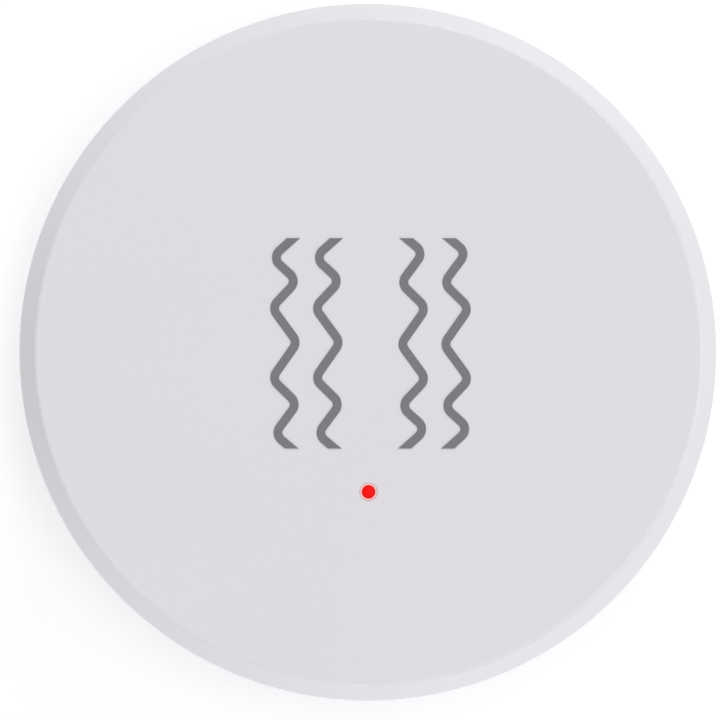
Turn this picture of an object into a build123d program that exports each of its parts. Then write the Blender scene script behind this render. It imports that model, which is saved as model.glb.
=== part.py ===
from build123d import *

import os
from math import cos, radians, sin

# Round stick-on vibration sensor tag, in millimetres.
#
# The tag lies on its adhesive face. The origin is the centre of that face, +Z leaves through the
# front, +X points to the right of the printed symbol and -Y to the status light.
#
# The base plate stays stuck to what it watches. The housing carries the board and the coin cell
# and is held down by lugs that sit under three helical ribs of the base: turning the front
# anticlockwise climbs the ribs and frees it.

os.makedirs("parts", exist_ok=True)

full_turn = 360.0
overrun = 1.0

# Coin cell, size 2032, standing with its positive can towards the base
cell_diameter = 20.0
cell_height = 3.2
cell_sheet = 0.25
cell_corner = 0.4
cell_cap_inset = 1.2
cell_cap_corner = 0.35
cell_cap_skirt = 1.7
cell_rim_drop = 0.35
cell_crimp = 0.65
cell_core_gap = 0.1
cell_fit = 0.02

# Battery tray, from the well of the cell out to its rim
well_clearance = 0.15
well_wall = 1.0
service_band = 3.85
tray_rim = 0.8
tray_plate = 1.0
tray_edge = 0.25
tray_gap = 0.4
lip_overlap = 0.3
lip_thickness = 0.35
lip_root = 0.85
lip_span = 16.0
lip_count = 3
lip_angle = 60.0
pry_radius = 2.6
pry_height = 2.2
plus_size = 1.8
plus_stroke = 0.4
plus_depth = 0.15
plus_angle = 200.0

# Base plate and its adhesive
pad_thickness = 0.8
pad_recess = 0.4
pad_border = 3.95
pad_clearance = 0.15
base_floor = 1.0
foot_inset = 0.15
foot_chamfer_width = 0.9
foot_chamfer_height = 0.6
foot_edge = 0.15
collar_wall = 1.2
collar_edge = 0.3
floor_rib_count = 12
floor_rib_width = 0.6
floor_rib_height = 0.4

# Foam cushion under the coin cell, and the ring of the floor that keeps it in place
cushion_inset = 2.5
cushion_thickness = 0.6
cushion_edge = 0.2
cushion_gap = 0.1
cushion_ring_width = 0.6
cushion_ring_height = 0.3
cushion_ring_gap = 0.4

# Twist closure: helical ribs on the collar, lugs inside the skirt
closure_count = 3
closure_angle = 15.0
closure_lead = 18.0
closure_clearance = 0.2
helix_clearance = 0.1
rib_span = 28.0
lug_depth = 0.9
lug_height = 0.7
lug_span = 10.0
lug_land = 0.1
stop_gap_angle = 1.0
stop_span = 4.0
root_overlap = 0.4
collar_gap = 0.5

# Sealing ring in the rebate of the skirt
seal_width = 0.6
seal_height = 0.7
seal_clearance = 0.1

# Front cover
side_wall = 1.5
front_wall = 1.5
part_room = 1.6
bevel_width = 0.94
bevel_height = 1.4
edge_radius = 0.3
skirt_edge = 0.25
parting_gap = 0.2

# Circuit board
board_thickness = 0.8
board_wall_gap = 0.4
contact_gap = 0.4
shoulder_width = 0.7
key_width = 1.0
key_reach = 0.9
key_height = 0.6
key_clearance = 0.15

# Screws that hold the tray, the board and the front cover together
screw_count = 3
screw_angle = 30.0
screw_diameter = 1.6
screw_length = 4.4
screw_room = 0.4
screw_tip = 0.25
screw_head_diameter = 2.8
screw_head_height = 0.85
screw_head_edge = 0.25
screw_recess_width = 0.4
screw_recess_length = 1.5
screw_recess_depth = 0.5
screw_clearance = 0.15
thread_fit = 0.02
head_clearance = 0.1
boss_diameter = 3.4
boss_clearance = 0.15
pillar_diameter = 4.1
pillar_height = 1.1

# Reset switch under the board, and the button that reaches it through the tray
switch_length = 5.7
switch_width = 2.8
switch_height = 1.6
switch_room = 0.2
frame_sheet = 0.15
frame_border = 0.2
frame_flap = 0.8
dome_clearance = 0.1
dome_rise = 0.4
dome_sheet = 0.08
dome_gap = 0.03
terminal_length = 0.8
terminal_width = 0.7
terminal_sheet = 0.12
terminal_spacing = 1.5
button_diameter = 2.0
button_ledge = 0.25
button_collar_share = 0.6
button_nub_diameter = 1.2
button_recess = 0.2
button_edge = 0.2
button_clearance = 0.15

# Status light and the guide that brings it to the front
light_radius = 8.05
light_diameter = 1.0
light_stem_diameter = 1.6
light_stem_gap = 0.2
light_flange_diameter = 2.2
light_flange_height = 0.35
light_fit = 0.02
shield_wall = 0.6
shield_gap = 0.15
led_length = 1.6
led_width = 0.8
led_base_height = 0.3
led_lens_height = 0.35
led_end = 0.3
led_lens_edge = 0.08

# Printed vibration symbol: four zigzag strokes, the right pair turned half round
symbol_height = 12.02
symbol_swing = 1.452
symbol_spacing = 2.456
symbol_stroke = 0.502
symbol_bend = 0.53
symbol_shift_x = 0.11
symbol_shift_y = 0.43
ink_thickness = 0.03
# each corner of the first stroke, across and along, as shares of the half swing and half height
stroke_shares = [
    (2.08, 1.15),
    (-1.0, 0.815),
    (1.0, 0.596),
    (-1.0, 0.34),
    (1.0, 0.009),
    (-1.0, -0.336),
    (1.0, -0.573),
    (-0.78, -0.863),
    (2.06, -1.15),
]

# Contact springs of the coin cell
spring_sheet = 0.15
spring_touch_gap = 0.02
negative_width = 2.6
negative_land = 3.0
negative_touch_inset = 2.8
negative_tip = 1.0
positive_width = 3.6
positive_slot = 0.4
positive_foot = 2.0
positive_lean = 0.55
positive_tip = 0.5
positive_tip_flare = 0.1
positive_end_gap = 0.15

# Electronic parts on the front of the board, placed as shares of the board radius
chip_size = 5.0
chip_height = 0.85
chip_edge = 0.1
chip_mark_diameter = 0.5
chip_mark_depth = 0.04
chip_mark_inset = 0.7
chip_lead_count = 8
chip_lead_pitch = 0.5
chip_lead_width = 0.25
chip_lead_height = 0.2
chip_lead_reach = 0.12
chip_shares = (-0.19, 0.12)
sensor_length = 2.6
sensor_width = 2.2
sensor_height = 0.9
sensor_shares = (0.19, 0.0)
crystal_length = 3.2
crystal_width = 2.5
crystal_base_height = 0.5
crystal_lid_height = 0.2
crystal_lid_inset = 0.2
crystal_shares = (-0.51, 0.12)
slow_crystal_length = 2.0
slow_crystal_width = 1.2
slow_crystal_shares = (-0.19, -0.15)
small_length = 1.0
small_width = 0.5
small_end = 0.22
capacitor_height = 0.5
resistor_height = 0.32
capacitor_shares = [
    (-0.42, 0.38),
    (-0.34, 0.38),
    (-0.26, 0.38),
    (-0.18, 0.38),
    (-0.38, -0.04),
    (0.02, 0.22),
    (0.02, 0.14),
    (0.3, 0.13),
    (0.3, -0.13),
    (-0.6, 0.01),
    (-0.245, 0.5),
    (-0.245, 0.58),
]
resistor_shares = [
    (0.02, 0.06),
    (0.22, 0.21),
    (0.3, 0.21),
    (0.38, 0.21),
    (-0.1, 0.38),
    (0.38, -0.13),
]

# Bulk capacitor on the back of the board
bulk_length = 3.2
bulk_width = 1.6
bulk_height = 1.5
bulk_end = 0.5
bulk_angle = 225.0

# Copper on the board
copper_thickness = 0.05
test_pad_diameter = 1.2
test_pad_count = 4
test_pad_angle = -50.0
test_pad_span = 26.0
aerial_track = 0.5
aerial_turns = 4
aerial_pitch_share = 0.07
aerial_foot_share = 0.66
aerial_low_share = 0.72
aerial_high_share = 0.86

# Marks that show how the housing stands on the base
mark_angle = -90.0
mark_width = 1.6
mark_height = 1.3
mark_lift = 0.35
mark_depth = 0.15
tick_width = 0.35
tick_depth = 0.15

# Radii, from the coin cell out
cell_radius = cell_diameter / 2
cell_cap_radius = cell_radius - cell_cap_inset
cushion_radius = cell_radius - cushion_inset
well_radius = cell_radius + well_clearance
well_outer = well_radius + well_wall
rim_inner = well_outer + service_band
service_radius = (well_outer + rim_inner) / 2
tray_radius = rim_inner + tray_rim
collar_bore = tray_radius + tray_gap
collar_radius = collar_bore + collar_wall
lug_inner = collar_radius + closure_clearance
bore_radius = lug_inner + lug_depth
rib_outer = bore_radius - closure_clearance
case_radius = bore_radius + side_wall
foot_radius = case_radius - foot_inset
foot_flat_radius = foot_radius - foot_chamfer_width
pad_radius = foot_flat_radius - pad_border
board_radius = bore_radius - board_wall_gap
shoulder_radius = board_radius - shoulder_width

# Levels, from the adhesive face up
base_bottom = pad_thickness - pad_recess
base_top = pad_thickness + base_floor
skirt_bottom = base_top + parting_gap
seal_top = base_top + seal_height
cell_bottom = base_top + cushion_thickness + cushion_gap
cell_top = cell_bottom + cell_height
cell_rim_top = cell_top - cell_rim_drop
board_bottom = cell_top + contact_gap
board_top = board_bottom + board_thickness
ceiling = board_top + part_room
front_face = ceiling + front_wall
tray_top = cell_bottom + tray_plate
boss_bottom = tray_top + pillar_height
lug_bottom = seal_top + lug_land
rib_bottom = lug_bottom + lug_height + helix_clearance
collar_top = board_bottom - collar_gap
rib_thickness = collar_top - rib_bottom - closure_lead * rib_span / full_turn
switch_bottom = board_bottom - switch_height
dome_bottom = switch_bottom - dome_rise
window_radius = switch_width / 2 - frame_border
dome_radius = window_radius - dome_clearance
shield_radius = light_flange_diameter / 2 + shield_gap


def save(piece, name):
    """Names a finished piece and writes it to its own file."""
    piece.part.label = name
    export_step(piece.part, f"parts/{name}.step")


def turned(count, start):
    """Evenly spaced angles round the axis."""
    return [start + turn * full_turn / count for turn in range(count)]


def around(radius, angle):
    """The point at that radius and angle round the axis."""
    return (radius * cos(radians(angle)), radius * sin(radians(angle)))


def on_board(shares):
    """The place on the board that two shares of its radius give."""
    return (shares[0] * board_radius, shares[1] * board_radius)


def helical_bar(inner, outer, bottom, height, start, span):
    """A bar of rectangular section that climbs round the axis with the lead of the closure."""
    middle = (inner + outer) / 2
    with BuildPart() as bar:
        with BuildLine() as path:
            Helix(closure_lead, closure_lead * span / full_turn, middle)
        with BuildSketch(Plane.XZ):
            with Locations((middle, height / 2)):
                Rectangle(outer - inner, height)
        sweep(path=path.line, is_frenet=True)
    return bar.part.rotate(Axis.Z, start).moved(Location((0, 0, bottom)))


def sector(inner, outer, bottom, top, start, span):
    """A piece of a ring with a rectangular section."""
    with BuildPart() as piece:
        with BuildSketch(Plane.XZ):
            with Locations(((inner + outer) / 2, (bottom + top) / 2)):
                Rectangle(outer - inner, top - bottom)
        revolve(axis=Axis.Z, revolution_arc=span)
    return piece.part.rotate(Axis.Z, start)


closure_angles = turned(closure_count, closure_angle)
screw_places = [around(service_radius, angle) for angle in turned(screw_count, screw_angle)]
capacitor_places = [on_board(shares) for shares in capacitor_shares]
resistor_places = [on_board(shares) for shares in resistor_shares]
light_place = (0, -light_radius)
button_place = (0, service_radius)
terminal_x = switch_length / 2 + frame_sheet + terminal_length / 2
lamp_side = shield_radius + shield_wall + small_length
resistor_places += [(-lamp_side, -light_radius), (lamp_side, -light_radius)]

# Base plate: a foot with a recess for the adhesive, a ribbed floor and a collar with the ribs
ribs = [
    helical_bar(
        collar_radius - root_overlap, rib_outer, rib_bottom, rib_thickness, angle, rib_span
    )
    for angle in closure_angles
]
stops = [
    sector(
        collar_radius - root_overlap,
        rib_outer,
        base_top,
        rib_bottom + rib_thickness,
        angle - stop_gap_angle - stop_span,
        stop_span,
    )
    for angle in closure_angles
]
floor_rib_inner = well_radius + lip_root + tray_gap
floor_rib_outer = collar_bore + root_overlap
with BuildPart() as base_plate:
    with BuildSketch(Plane.XZ):
        with BuildLine():
            Polyline(
                (0, base_bottom),
                (foot_flat_radius, base_bottom),
                (foot_radius, base_bottom + foot_chamfer_height),
                (foot_radius, base_top),
                (collar_radius, base_top),
                (collar_radius, collar_top),
                (collar_bore, collar_top),
                (collar_bore, base_top),
                (0, base_top),
                close=True,
            )
        make_face()
    revolve(axis=Axis.Z)
    foot_rims = base_plate.edges().filter_by(GeomType.CIRCLE).group_by(SortBy.RADIUS)[-1]
    chamfer(foot_rims.sort_by(Axis.Z)[-1], foot_edge)
    crown_edges = base_plate.edges().filter_by(GeomType.CIRCLE).group_by(Axis.Z)[-1]
    chamfer(crown_edges.sort_by(SortBy.RADIUS)[0], collar_edge)
    with BuildSketch(Plane.XY.offset(base_bottom)):
        Circle(pad_radius + pad_clearance)
    extrude(amount=pad_recess, mode=Mode.SUBTRACT)
    with BuildSketch(Plane.XY.offset(base_top)):
        Circle(cushion_radius + cushion_ring_gap + cushion_ring_width)
        Circle(cushion_radius + cushion_ring_gap, mode=Mode.SUBTRACT)
    extrude(amount=cushion_ring_height)
    with BuildSketch(Plane.XY.offset(base_top)):
        with PolarLocations((floor_rib_inner + floor_rib_outer) / 2, floor_rib_count):
            Rectangle(floor_rib_outer - floor_rib_inner, floor_rib_width)
    extrude(amount=floor_rib_height)
    add(ribs)
    add(stops)
    with BuildSketch(Plane.XY.offset(base_bottom)):
        for angle in (mark_angle, mark_angle + rib_span):
            with PolarLocations(foot_radius, 1, start_angle=angle):
                Rectangle(tick_depth * 2, tick_width)
    extrude(amount=base_top - base_bottom, mode=Mode.SUBTRACT)
save(base_plate, "base_plate")

# Adhesive pad in the recess under the base plate
with BuildPart() as adhesive_pad:
    with BuildSketch():
        Circle(pad_radius)
    extrude(amount=pad_thickness)
save(adhesive_pad, "adhesive_pad")

# Foam cushion that keeps the coin cell from rattling
with BuildPart() as cell_cushion:
    with BuildSketch(Plane.XY.offset(base_top)):
        Circle(cushion_radius)
    extrude(amount=cushion_thickness)
    fillet(cell_cushion.edges().group_by(Axis.Z)[-1], cushion_edge)
save(cell_cushion, "cell_cushion")

# Sealing ring between the flange of the base and the skirt of the cover
with BuildPart() as sealing_ring:
    with BuildSketch(Plane.XY.offset(base_top)):
        Circle(bore_radius + seal_width)
        Circle(bore_radius, mode=Mode.SUBTRACT)
    extrude(amount=seal_height)
save(sealing_ring, "sealing_ring")

# Front cover: the shell with its bevel, the lugs, the screw bosses and the shield of the light
lugs = [
    helical_bar(lug_inner, bore_radius + root_overlap, lug_bottom, lug_height, angle, lug_span)
    for angle in closure_angles
]
shield_bottom = board_top + shield_gap
with BuildPart() as front_cover:
    with BuildSketch(Plane.XZ):
        with BuildLine():
            Polyline(
                (0, skirt_bottom),
                (case_radius - skirt_edge, skirt_bottom),
                (case_radius, skirt_bottom + skirt_edge),
                (case_radius, front_face - bevel_height),
                (case_radius - bevel_width, front_face),
                (0, front_face),
                close=True,
            )
        outline = make_face()
        corner_rows = outline.vertices().group_by(Axis.Y)
        bevel_corners = [row.sort_by(Axis.X)[-1] for row in corner_rows[-2:]]
        fillet(bevel_corners, edge_radius)
    revolve(axis=Axis.Z)
    with BuildSketch(Plane.XY.offset(skirt_bottom)):
        Circle(bore_radius)
    extrude(amount=board_top - skirt_bottom, mode=Mode.SUBTRACT)
    with BuildSketch(Plane.XY.offset(board_top)):
        Circle(shoulder_radius)
    extrude(amount=part_room, mode=Mode.SUBTRACT)
    with BuildSketch(Plane.XY.offset(skirt_bottom)):
        Circle(bore_radius + seal_width + seal_clearance)
    extrude(amount=seal_top - skirt_bottom, mode=Mode.SUBTRACT)
    add(lugs)
    with BuildSketch(Plane.XY.offset(boss_bottom)):
        with Locations(screw_places):
            Circle(boss_diameter / 2)
    extrude(amount=ceiling - boss_bottom)
    with BuildSketch(Plane.XY.offset(boss_bottom)):
        with Locations(screw_places):
            Circle(screw_diameter / 2 + thread_fit)
    extrude(amount=tray_top + screw_length + screw_room - boss_bottom, mode=Mode.SUBTRACT)
    with BuildSketch(Plane.XY.offset(shield_bottom)):
        with Locations(light_place):
            Circle(shield_radius + shield_wall)
            Circle(shield_radius, mode=Mode.SUBTRACT)
    extrude(amount=ceiling - shield_bottom)
    with BuildSketch(Plane.XY.offset(ceiling)):
        with Locations(light_place):
            Circle(light_diameter / 2 + light_fit)
    extrude(amount=front_wall, mode=Mode.SUBTRACT)
    with BuildSketch(Plane.XY.offset(board_top - key_height)):
        with Locations((bore_radius + (root_overlap - key_reach) / 2, 0)):
            Rectangle(root_overlap + key_reach, key_width)
    extrude(amount=key_height)
    with BuildSketch(Plane.XZ.offset(case_radius)):
        with BuildLine():
            Polyline(
                (0, skirt_bottom + mark_lift),
                (mark_width / 2, skirt_bottom + mark_lift + mark_height),
                (-mark_width / 2, skirt_bottom + mark_lift + mark_height),
                close=True,
            )
        make_face()
    extrude(amount=-mark_depth, mode=Mode.SUBTRACT)
save(front_cover, "front_cover")

# Printed symbol on the front face
stroke_points = [
    (across * symbol_swing / 2, along * symbol_height / 2) for across, along in stroke_shares
]
with BuildPart() as printed_symbol:
    with BuildSketch(Plane.XY.offset(front_face)) as strokes:
        with Locations((symbol_shift_x, symbol_shift_y)):
            for step, turn in ((2, 0), (1, 0), (2, full_turn / 2), (1, full_turn / 2)):
                with BuildSketch(mode=Mode.PRIVATE) as stroke:
                    with BuildLine():
                        FilletPolyline(*stroke_points, radius=symbol_bend)
                    trace(line_width=symbol_stroke)
                    Rectangle(symbol_spacing * 2, symbol_height, mode=Mode.INTERSECT)
                add(stroke.sketch.moved(Location((-step * symbol_spacing, 0, 0))).rotate(Axis.Z, turn))
    extrude(amount=ink_thickness)
save(printed_symbol, "printed_symbol")

# Light guide: the tip that shows, a flange against the inside of the face and a stem to the lamp
stem_bottom = board_top + led_base_height + led_lens_height + light_stem_gap
with BuildPart() as light_guide:
    with BuildSketch(Plane.XY.offset(stem_bottom)):
        with Locations(light_place):
            Circle(light_stem_diameter / 2)
    extrude(amount=ceiling - stem_bottom)
    with BuildSketch(Plane.XY.offset(ceiling - light_flange_height)):
        with Locations(light_place):
            Circle(light_flange_diameter / 2)
    extrude(amount=light_flange_height)
    with BuildSketch(Plane.XY.offset(ceiling)):
        with Locations(light_place):
            Circle(light_diameter / 2)
    extrude(amount=front_wall)
save(light_guide, "light_guide")

# Battery tray: a plate with the well of the cell, its lips, a rim and the pillars of the screws
lips = [
    sector(
        cell_radius - lip_overlap,
        well_radius + lip_root,
        cell_bottom - lip_thickness,
        cell_bottom,
        angle - lip_span / 2,
        lip_span,
    )
    for angle in turned(lip_count, lip_angle)
]
with BuildPart() as battery_tray:
    with BuildSketch(Plane.XY.offset(cell_bottom)):
        Circle(tray_radius)
        Circle(well_radius, mode=Mode.SUBTRACT)
    extrude(amount=board_bottom - cell_bottom)
    foot_edges = battery_tray.edges().filter_by(GeomType.CIRCLE).group_by(Axis.Z)[0]
    chamfer(foot_edges.sort_by(SortBy.RADIUS), tray_edge)
    with BuildSketch(Plane.XY.offset(tray_top)):
        Circle(rim_inner)
        Circle(well_outer, mode=Mode.SUBTRACT)
    extrude(amount=board_bottom - tray_top, mode=Mode.SUBTRACT)
    with BuildSketch(Plane.XY.offset(tray_top)):
        with Locations(screw_places):
            Circle(pillar_diameter / 2)
    extrude(amount=pillar_height)
    with BuildSketch(Plane.XY.offset(boss_bottom)):
        with Locations(screw_places):
            Circle(boss_diameter / 2 + boss_clearance)
    extrude(amount=board_bottom - boss_bottom, mode=Mode.SUBTRACT)
    with BuildSketch(Plane.XY.offset(cell_bottom)):
        with Locations(screw_places):
            Circle(screw_head_diameter / 2 + head_clearance)
    extrude(amount=tray_plate, mode=Mode.SUBTRACT)
    with BuildSketch(Plane.XY.offset(tray_top)):
        with Locations(screw_places):
            Circle(screw_diameter / 2 + screw_clearance)
    extrude(amount=pillar_height, mode=Mode.SUBTRACT)
    with BuildSketch(Plane.XY.offset(cell_bottom)):
        with Locations(button_place):
            Circle(button_diameter / 2 + button_clearance)
    extrude(amount=tray_plate, mode=Mode.SUBTRACT)
    with BuildSketch(Plane.XY.offset(cell_bottom)):
        with Locations((well_outer, 0)):
            Circle(pry_radius)
    extrude(amount=pry_height, mode=Mode.SUBTRACT)
    with BuildSketch(Plane.XY.offset(tray_top)):
        with Locations(button_place):
            pocket_length = (terminal_x + switch_room) * 2 + terminal_length
            Rectangle(pocket_length, switch_width + switch_room * 2)
        with Locations((-(cell_radius + well_outer + overrun) / 2, 0)):
            Rectangle(well_outer + overrun - cell_radius, positive_width + positive_slot)
    extrude(amount=board_bottom - tray_top, mode=Mode.SUBTRACT)
    add(lips)
    with BuildSketch(Plane.XY.offset(cell_bottom)):
        with PolarLocations(service_radius, 1, start_angle=plus_angle, rotate=False):
            Rectangle(plus_size, plus_stroke)
            Rectangle(plus_stroke, plus_size)
    extrude(amount=plus_depth, mode=Mode.SUBTRACT)
save(battery_tray, "battery_tray")

# Screws, with heads sunk in the tray and shanks that end in the bosses
with BuildPart() as tray_screws:
    with BuildSketch(Plane.XY.offset(tray_top - screw_head_height)):
        with Locations(screw_places):
            Circle(screw_head_diameter / 2)
    extrude(amount=screw_head_height)
    fillet(tray_screws.edges().group_by(Axis.Z)[0], screw_head_edge)
    with BuildSketch(Plane.XY.offset(tray_top)):
        with Locations(screw_places):
            Circle(screw_diameter / 2)
    extrude(amount=screw_length)
    chamfer(tray_screws.edges().group_by(Axis.Z)[-1], screw_tip)
    with BuildSketch(Plane.XY.offset(tray_top - screw_head_height)):
        with Locations(screw_places):
            Rectangle(screw_recess_length, screw_recess_width)
            Rectangle(screw_recess_width, screw_recess_length)
    extrude(amount=screw_recess_depth, mode=Mode.SUBTRACT)
save(tray_screws, "tray_screws")

# Circuit board, clamped between the tray and the shoulder of the cover
notch_inner = bore_radius - key_reach - key_clearance
with BuildPart() as circuit_board:
    with BuildSketch(Plane.XY.offset(board_bottom)):
        Circle(board_radius)
        with Locations(screw_places):
            Circle(boss_diameter / 2 + boss_clearance, mode=Mode.SUBTRACT)
        with Locations(((notch_inner + board_radius + overrun) / 2, 0)):
            notch_length = board_radius + overrun - notch_inner
            Rectangle(notch_length, key_width + key_clearance * 2, mode=Mode.SUBTRACT)
    extrude(amount=board_thickness)
save(circuit_board, "circuit_board")

# Test pads on the back of the board
with BuildPart() as test_pads:
    with BuildSketch(Plane.XY.offset(board_bottom - copper_thickness)):
        with PolarLocations(
            service_radius, test_pad_count, test_pad_angle, test_pad_span, endpoint=True
        ):
            Circle(test_pad_diameter / 2)
    extrude(amount=copper_thickness)
save(test_pads, "test_pads")

# Aerial: a folded track with two legs, printed on the front of the board
aerial_left = -(aerial_turns + 0.5) * aerial_pitch_share
aerial_corners = [(aerial_left, aerial_foot_share), (aerial_left, aerial_high_share)]
for fold in range(aerial_turns):
    fold_left = aerial_left + 2 * (fold + 1) * aerial_pitch_share
    fold_right = fold_left + aerial_pitch_share
    aerial_corners += [
        (fold_left, aerial_high_share),
        (fold_left, aerial_low_share),
        (fold_right, aerial_low_share),
        (fold_right, aerial_high_share),
    ]
feed_share = aerial_left + aerial_pitch_share
with BuildPart() as antenna_trace:
    with BuildSketch(Plane.XY.offset(board_top)):
        with BuildLine():
            Polyline(*[on_board(corner) for corner in aerial_corners])
        trace(line_width=aerial_track)
        with BuildLine():
            Line(on_board((feed_share, aerial_foot_share)), on_board((feed_share, aerial_high_share)))
        trace(line_width=aerial_track)
    extrude(amount=copper_thickness)
save(antenna_trace, "antenna_trace")

# Microcontroller, with a dot at its first lead
with BuildPart() as microcontroller:
    with BuildSketch(Plane.XY.offset(board_top)):
        with Locations(on_board(chip_shares)):
            Rectangle(chip_size, chip_size)
    extrude(amount=chip_height)
    chamfer(microcontroller.edges().group_by(Axis.Z)[-1], chip_edge)
    with BuildSketch(Plane.XY.offset(board_top + chip_height - chip_mark_depth)):
        with Locations(on_board(chip_shares)):
            with Locations((chip_mark_inset - chip_size / 2, chip_size / 2 - chip_mark_inset)):
                Circle(chip_mark_diameter / 2)
    extrude(amount=chip_mark_depth, mode=Mode.SUBTRACT)
save(microcontroller, "microcontroller")

# Its leads, one row along each side
with BuildPart() as microcontroller_leads:
    with BuildSketch(Plane.XY.offset(board_top)):
        with Locations(on_board(chip_shares)):
            with PolarLocations((chip_size + chip_lead_reach) / 2, 4):
                with GridLocations(chip_lead_pitch, chip_lead_pitch, 1, chip_lead_count):
                    Rectangle(chip_lead_reach, chip_lead_width)
    extrude(amount=chip_lead_height)
save(microcontroller_leads, "microcontroller_leads")

# Accelerometer, the vibration sensor itself
with BuildPart() as accelerometer:
    with BuildSketch(Plane.XY.offset(board_top)):
        with Locations(on_board(sensor_shares)):
            Rectangle(sensor_length, sensor_width)
    extrude(amount=sensor_height)
    chamfer(accelerometer.edges().group_by(Axis.Z)[-1], chip_edge)
    with BuildSketch(Plane.XY.offset(board_top + sensor_height - chip_mark_depth)):
        with Locations(on_board(sensor_shares)):
            mark_x = chip_mark_inset - sensor_length / 2
            mark_y = sensor_width / 2 - chip_mark_inset
            with Locations((mark_x, mark_y)):
                Circle(chip_mark_diameter / 2)
    extrude(amount=chip_mark_depth, mode=Mode.SUBTRACT)
save(accelerometer, "accelerometer")

# Crystals: ceramic cases with metal lids
crystals = [
    (crystal_shares, crystal_length, crystal_width),
    (slow_crystal_shares, slow_crystal_length, slow_crystal_width),
]
with BuildPart() as crystal_cases:
    with BuildSketch(Plane.XY.offset(board_top)):
        for shares, length, width in crystals:
            with Locations(on_board(shares)):
                Rectangle(length, width)
    extrude(amount=crystal_base_height)
save(crystal_cases, "crystal_cases")

with BuildPart() as crystal_lids:
    with BuildSketch(Plane.XY.offset(board_top + crystal_base_height)):
        for shares, length, width in crystals:
            with Locations(on_board(shares)):
                Rectangle(length - crystal_lid_inset * 2, width - crystal_lid_inset * 2)
    extrude(amount=crystal_lid_height)
    fillet(crystal_lids.edges().group_by(Axis.Z)[-1], crystal_lid_height / 2)
save(crystal_lids, "crystal_lids")

# Status light: a base on the board with a clear lens on it
with BuildPart() as status_led_base:
    with BuildSketch(Plane.XY.offset(board_top)):
        with Locations(light_place):
            Rectangle(led_length - led_end * 2, led_width)
    extrude(amount=led_base_height)
save(status_led_base, "status_led_base")

with BuildPart() as status_led_lens:
    with BuildSketch(Plane.XY.offset(board_top + led_base_height)):
        with Locations(light_place):
            Rectangle(led_length - led_end * 2, led_width)
    extrude(amount=led_lens_height)
    chamfer(status_led_lens.edges().group_by(Axis.Z)[-1], led_lens_edge)
save(status_led_lens, "status_led_lens")

# Small parts: bodies between two metal ends
with BuildPart() as capacitor_bodies:
    with BuildSketch(Plane.XY.offset(board_top)):
        with Locations(capacitor_places):
            Rectangle(small_length - small_end * 2, small_width)
    extrude(amount=capacitor_height)
save(capacitor_bodies, "capacitor_bodies")

with BuildPart() as resistor_bodies:
    with BuildSketch(Plane.XY.offset(board_top)):
        with Locations(resistor_places):
            Rectangle(small_length - small_end * 2, small_width)
    extrude(amount=resistor_height)
save(resistor_bodies, "resistor_bodies")

with BuildPart() as bulk_capacitor:
    with BuildSketch(Plane.XY.offset(board_bottom - bulk_height)):
        with PolarLocations(service_radius, 1, start_angle=bulk_angle):
            Rectangle(bulk_width, bulk_length - bulk_end * 2)
    extrude(amount=bulk_height)
save(bulk_capacitor, "bulk_capacitor")

with BuildPart() as chip_end_caps:
    with BuildSketch(Plane.XY.offset(board_top)):
        with Locations(capacitor_places):
            with GridLocations(small_length - small_end, small_width, 2, 1):
                Rectangle(small_end, small_width)
    extrude(amount=capacitor_height)
    with BuildSketch(Plane.XY.offset(board_top)):
        with Locations(resistor_places):
            with GridLocations(small_length - small_end, small_width, 2, 1):
                Rectangle(small_end, small_width)
    extrude(amount=resistor_height)
    with BuildSketch(Plane.XY.offset(board_top)):
        with Locations(light_place):
            with GridLocations(led_length - led_end, led_width, 2, 1):
                Rectangle(led_end, led_width)
    extrude(amount=led_base_height)
    with BuildSketch(Plane.XY.offset(board_bottom - bulk_height)):
        with PolarLocations(service_radius, 1, start_angle=bulk_angle):
            with GridLocations(bulk_width, bulk_length - bulk_end, 1, 2):
                Rectangle(bulk_width, bulk_end)
    extrude(amount=bulk_height)
save(chip_end_caps, "chip_end_caps")

# Negative contact: a leaf under the board with two arms that press on the cap of the cell
land_z = board_bottom - spring_sheet / 2
arm_z = cell_top + spring_touch_gap + spring_sheet / 2
tip_z = (land_z + arm_z) / 2
arm_x = cell_cap_radius - negative_touch_inset
tip_x = arm_x + negative_tip
with BuildPart() as negative_contact:
    with BuildSketch(Plane.XZ):
        with BuildLine():
            Polyline(
                (-tip_x, tip_z),
                (-arm_x, arm_z),
                (-negative_land, land_z),
                (negative_land, land_z),
                (arm_x, arm_z),
                (tip_x, tip_z),
            )
        trace(line_width=spring_sheet)
    extrude(amount=negative_width / 2, both=True)
save(negative_contact, "negative_contact")

# Positive contact: a foot under the board and an arm that presses on the side of the cell
touch_x = cell_radius + spring_touch_gap + spring_sheet / 2
bend_x = touch_x + positive_lean
end_z = tray_top + positive_end_gap
with BuildPart() as positive_contact:
    with BuildSketch(Plane.XZ):
        with BuildLine():
            Polyline(
                (-bend_x - positive_foot, land_z),
                (-bend_x, land_z),
                (-touch_x, end_z + positive_tip),
                (-touch_x - positive_tip_flare, end_z),
            )
        trace(line_width=spring_sheet)
    extrude(amount=positive_width / 2, both=True)
save(positive_contact, "positive_contact")

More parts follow.
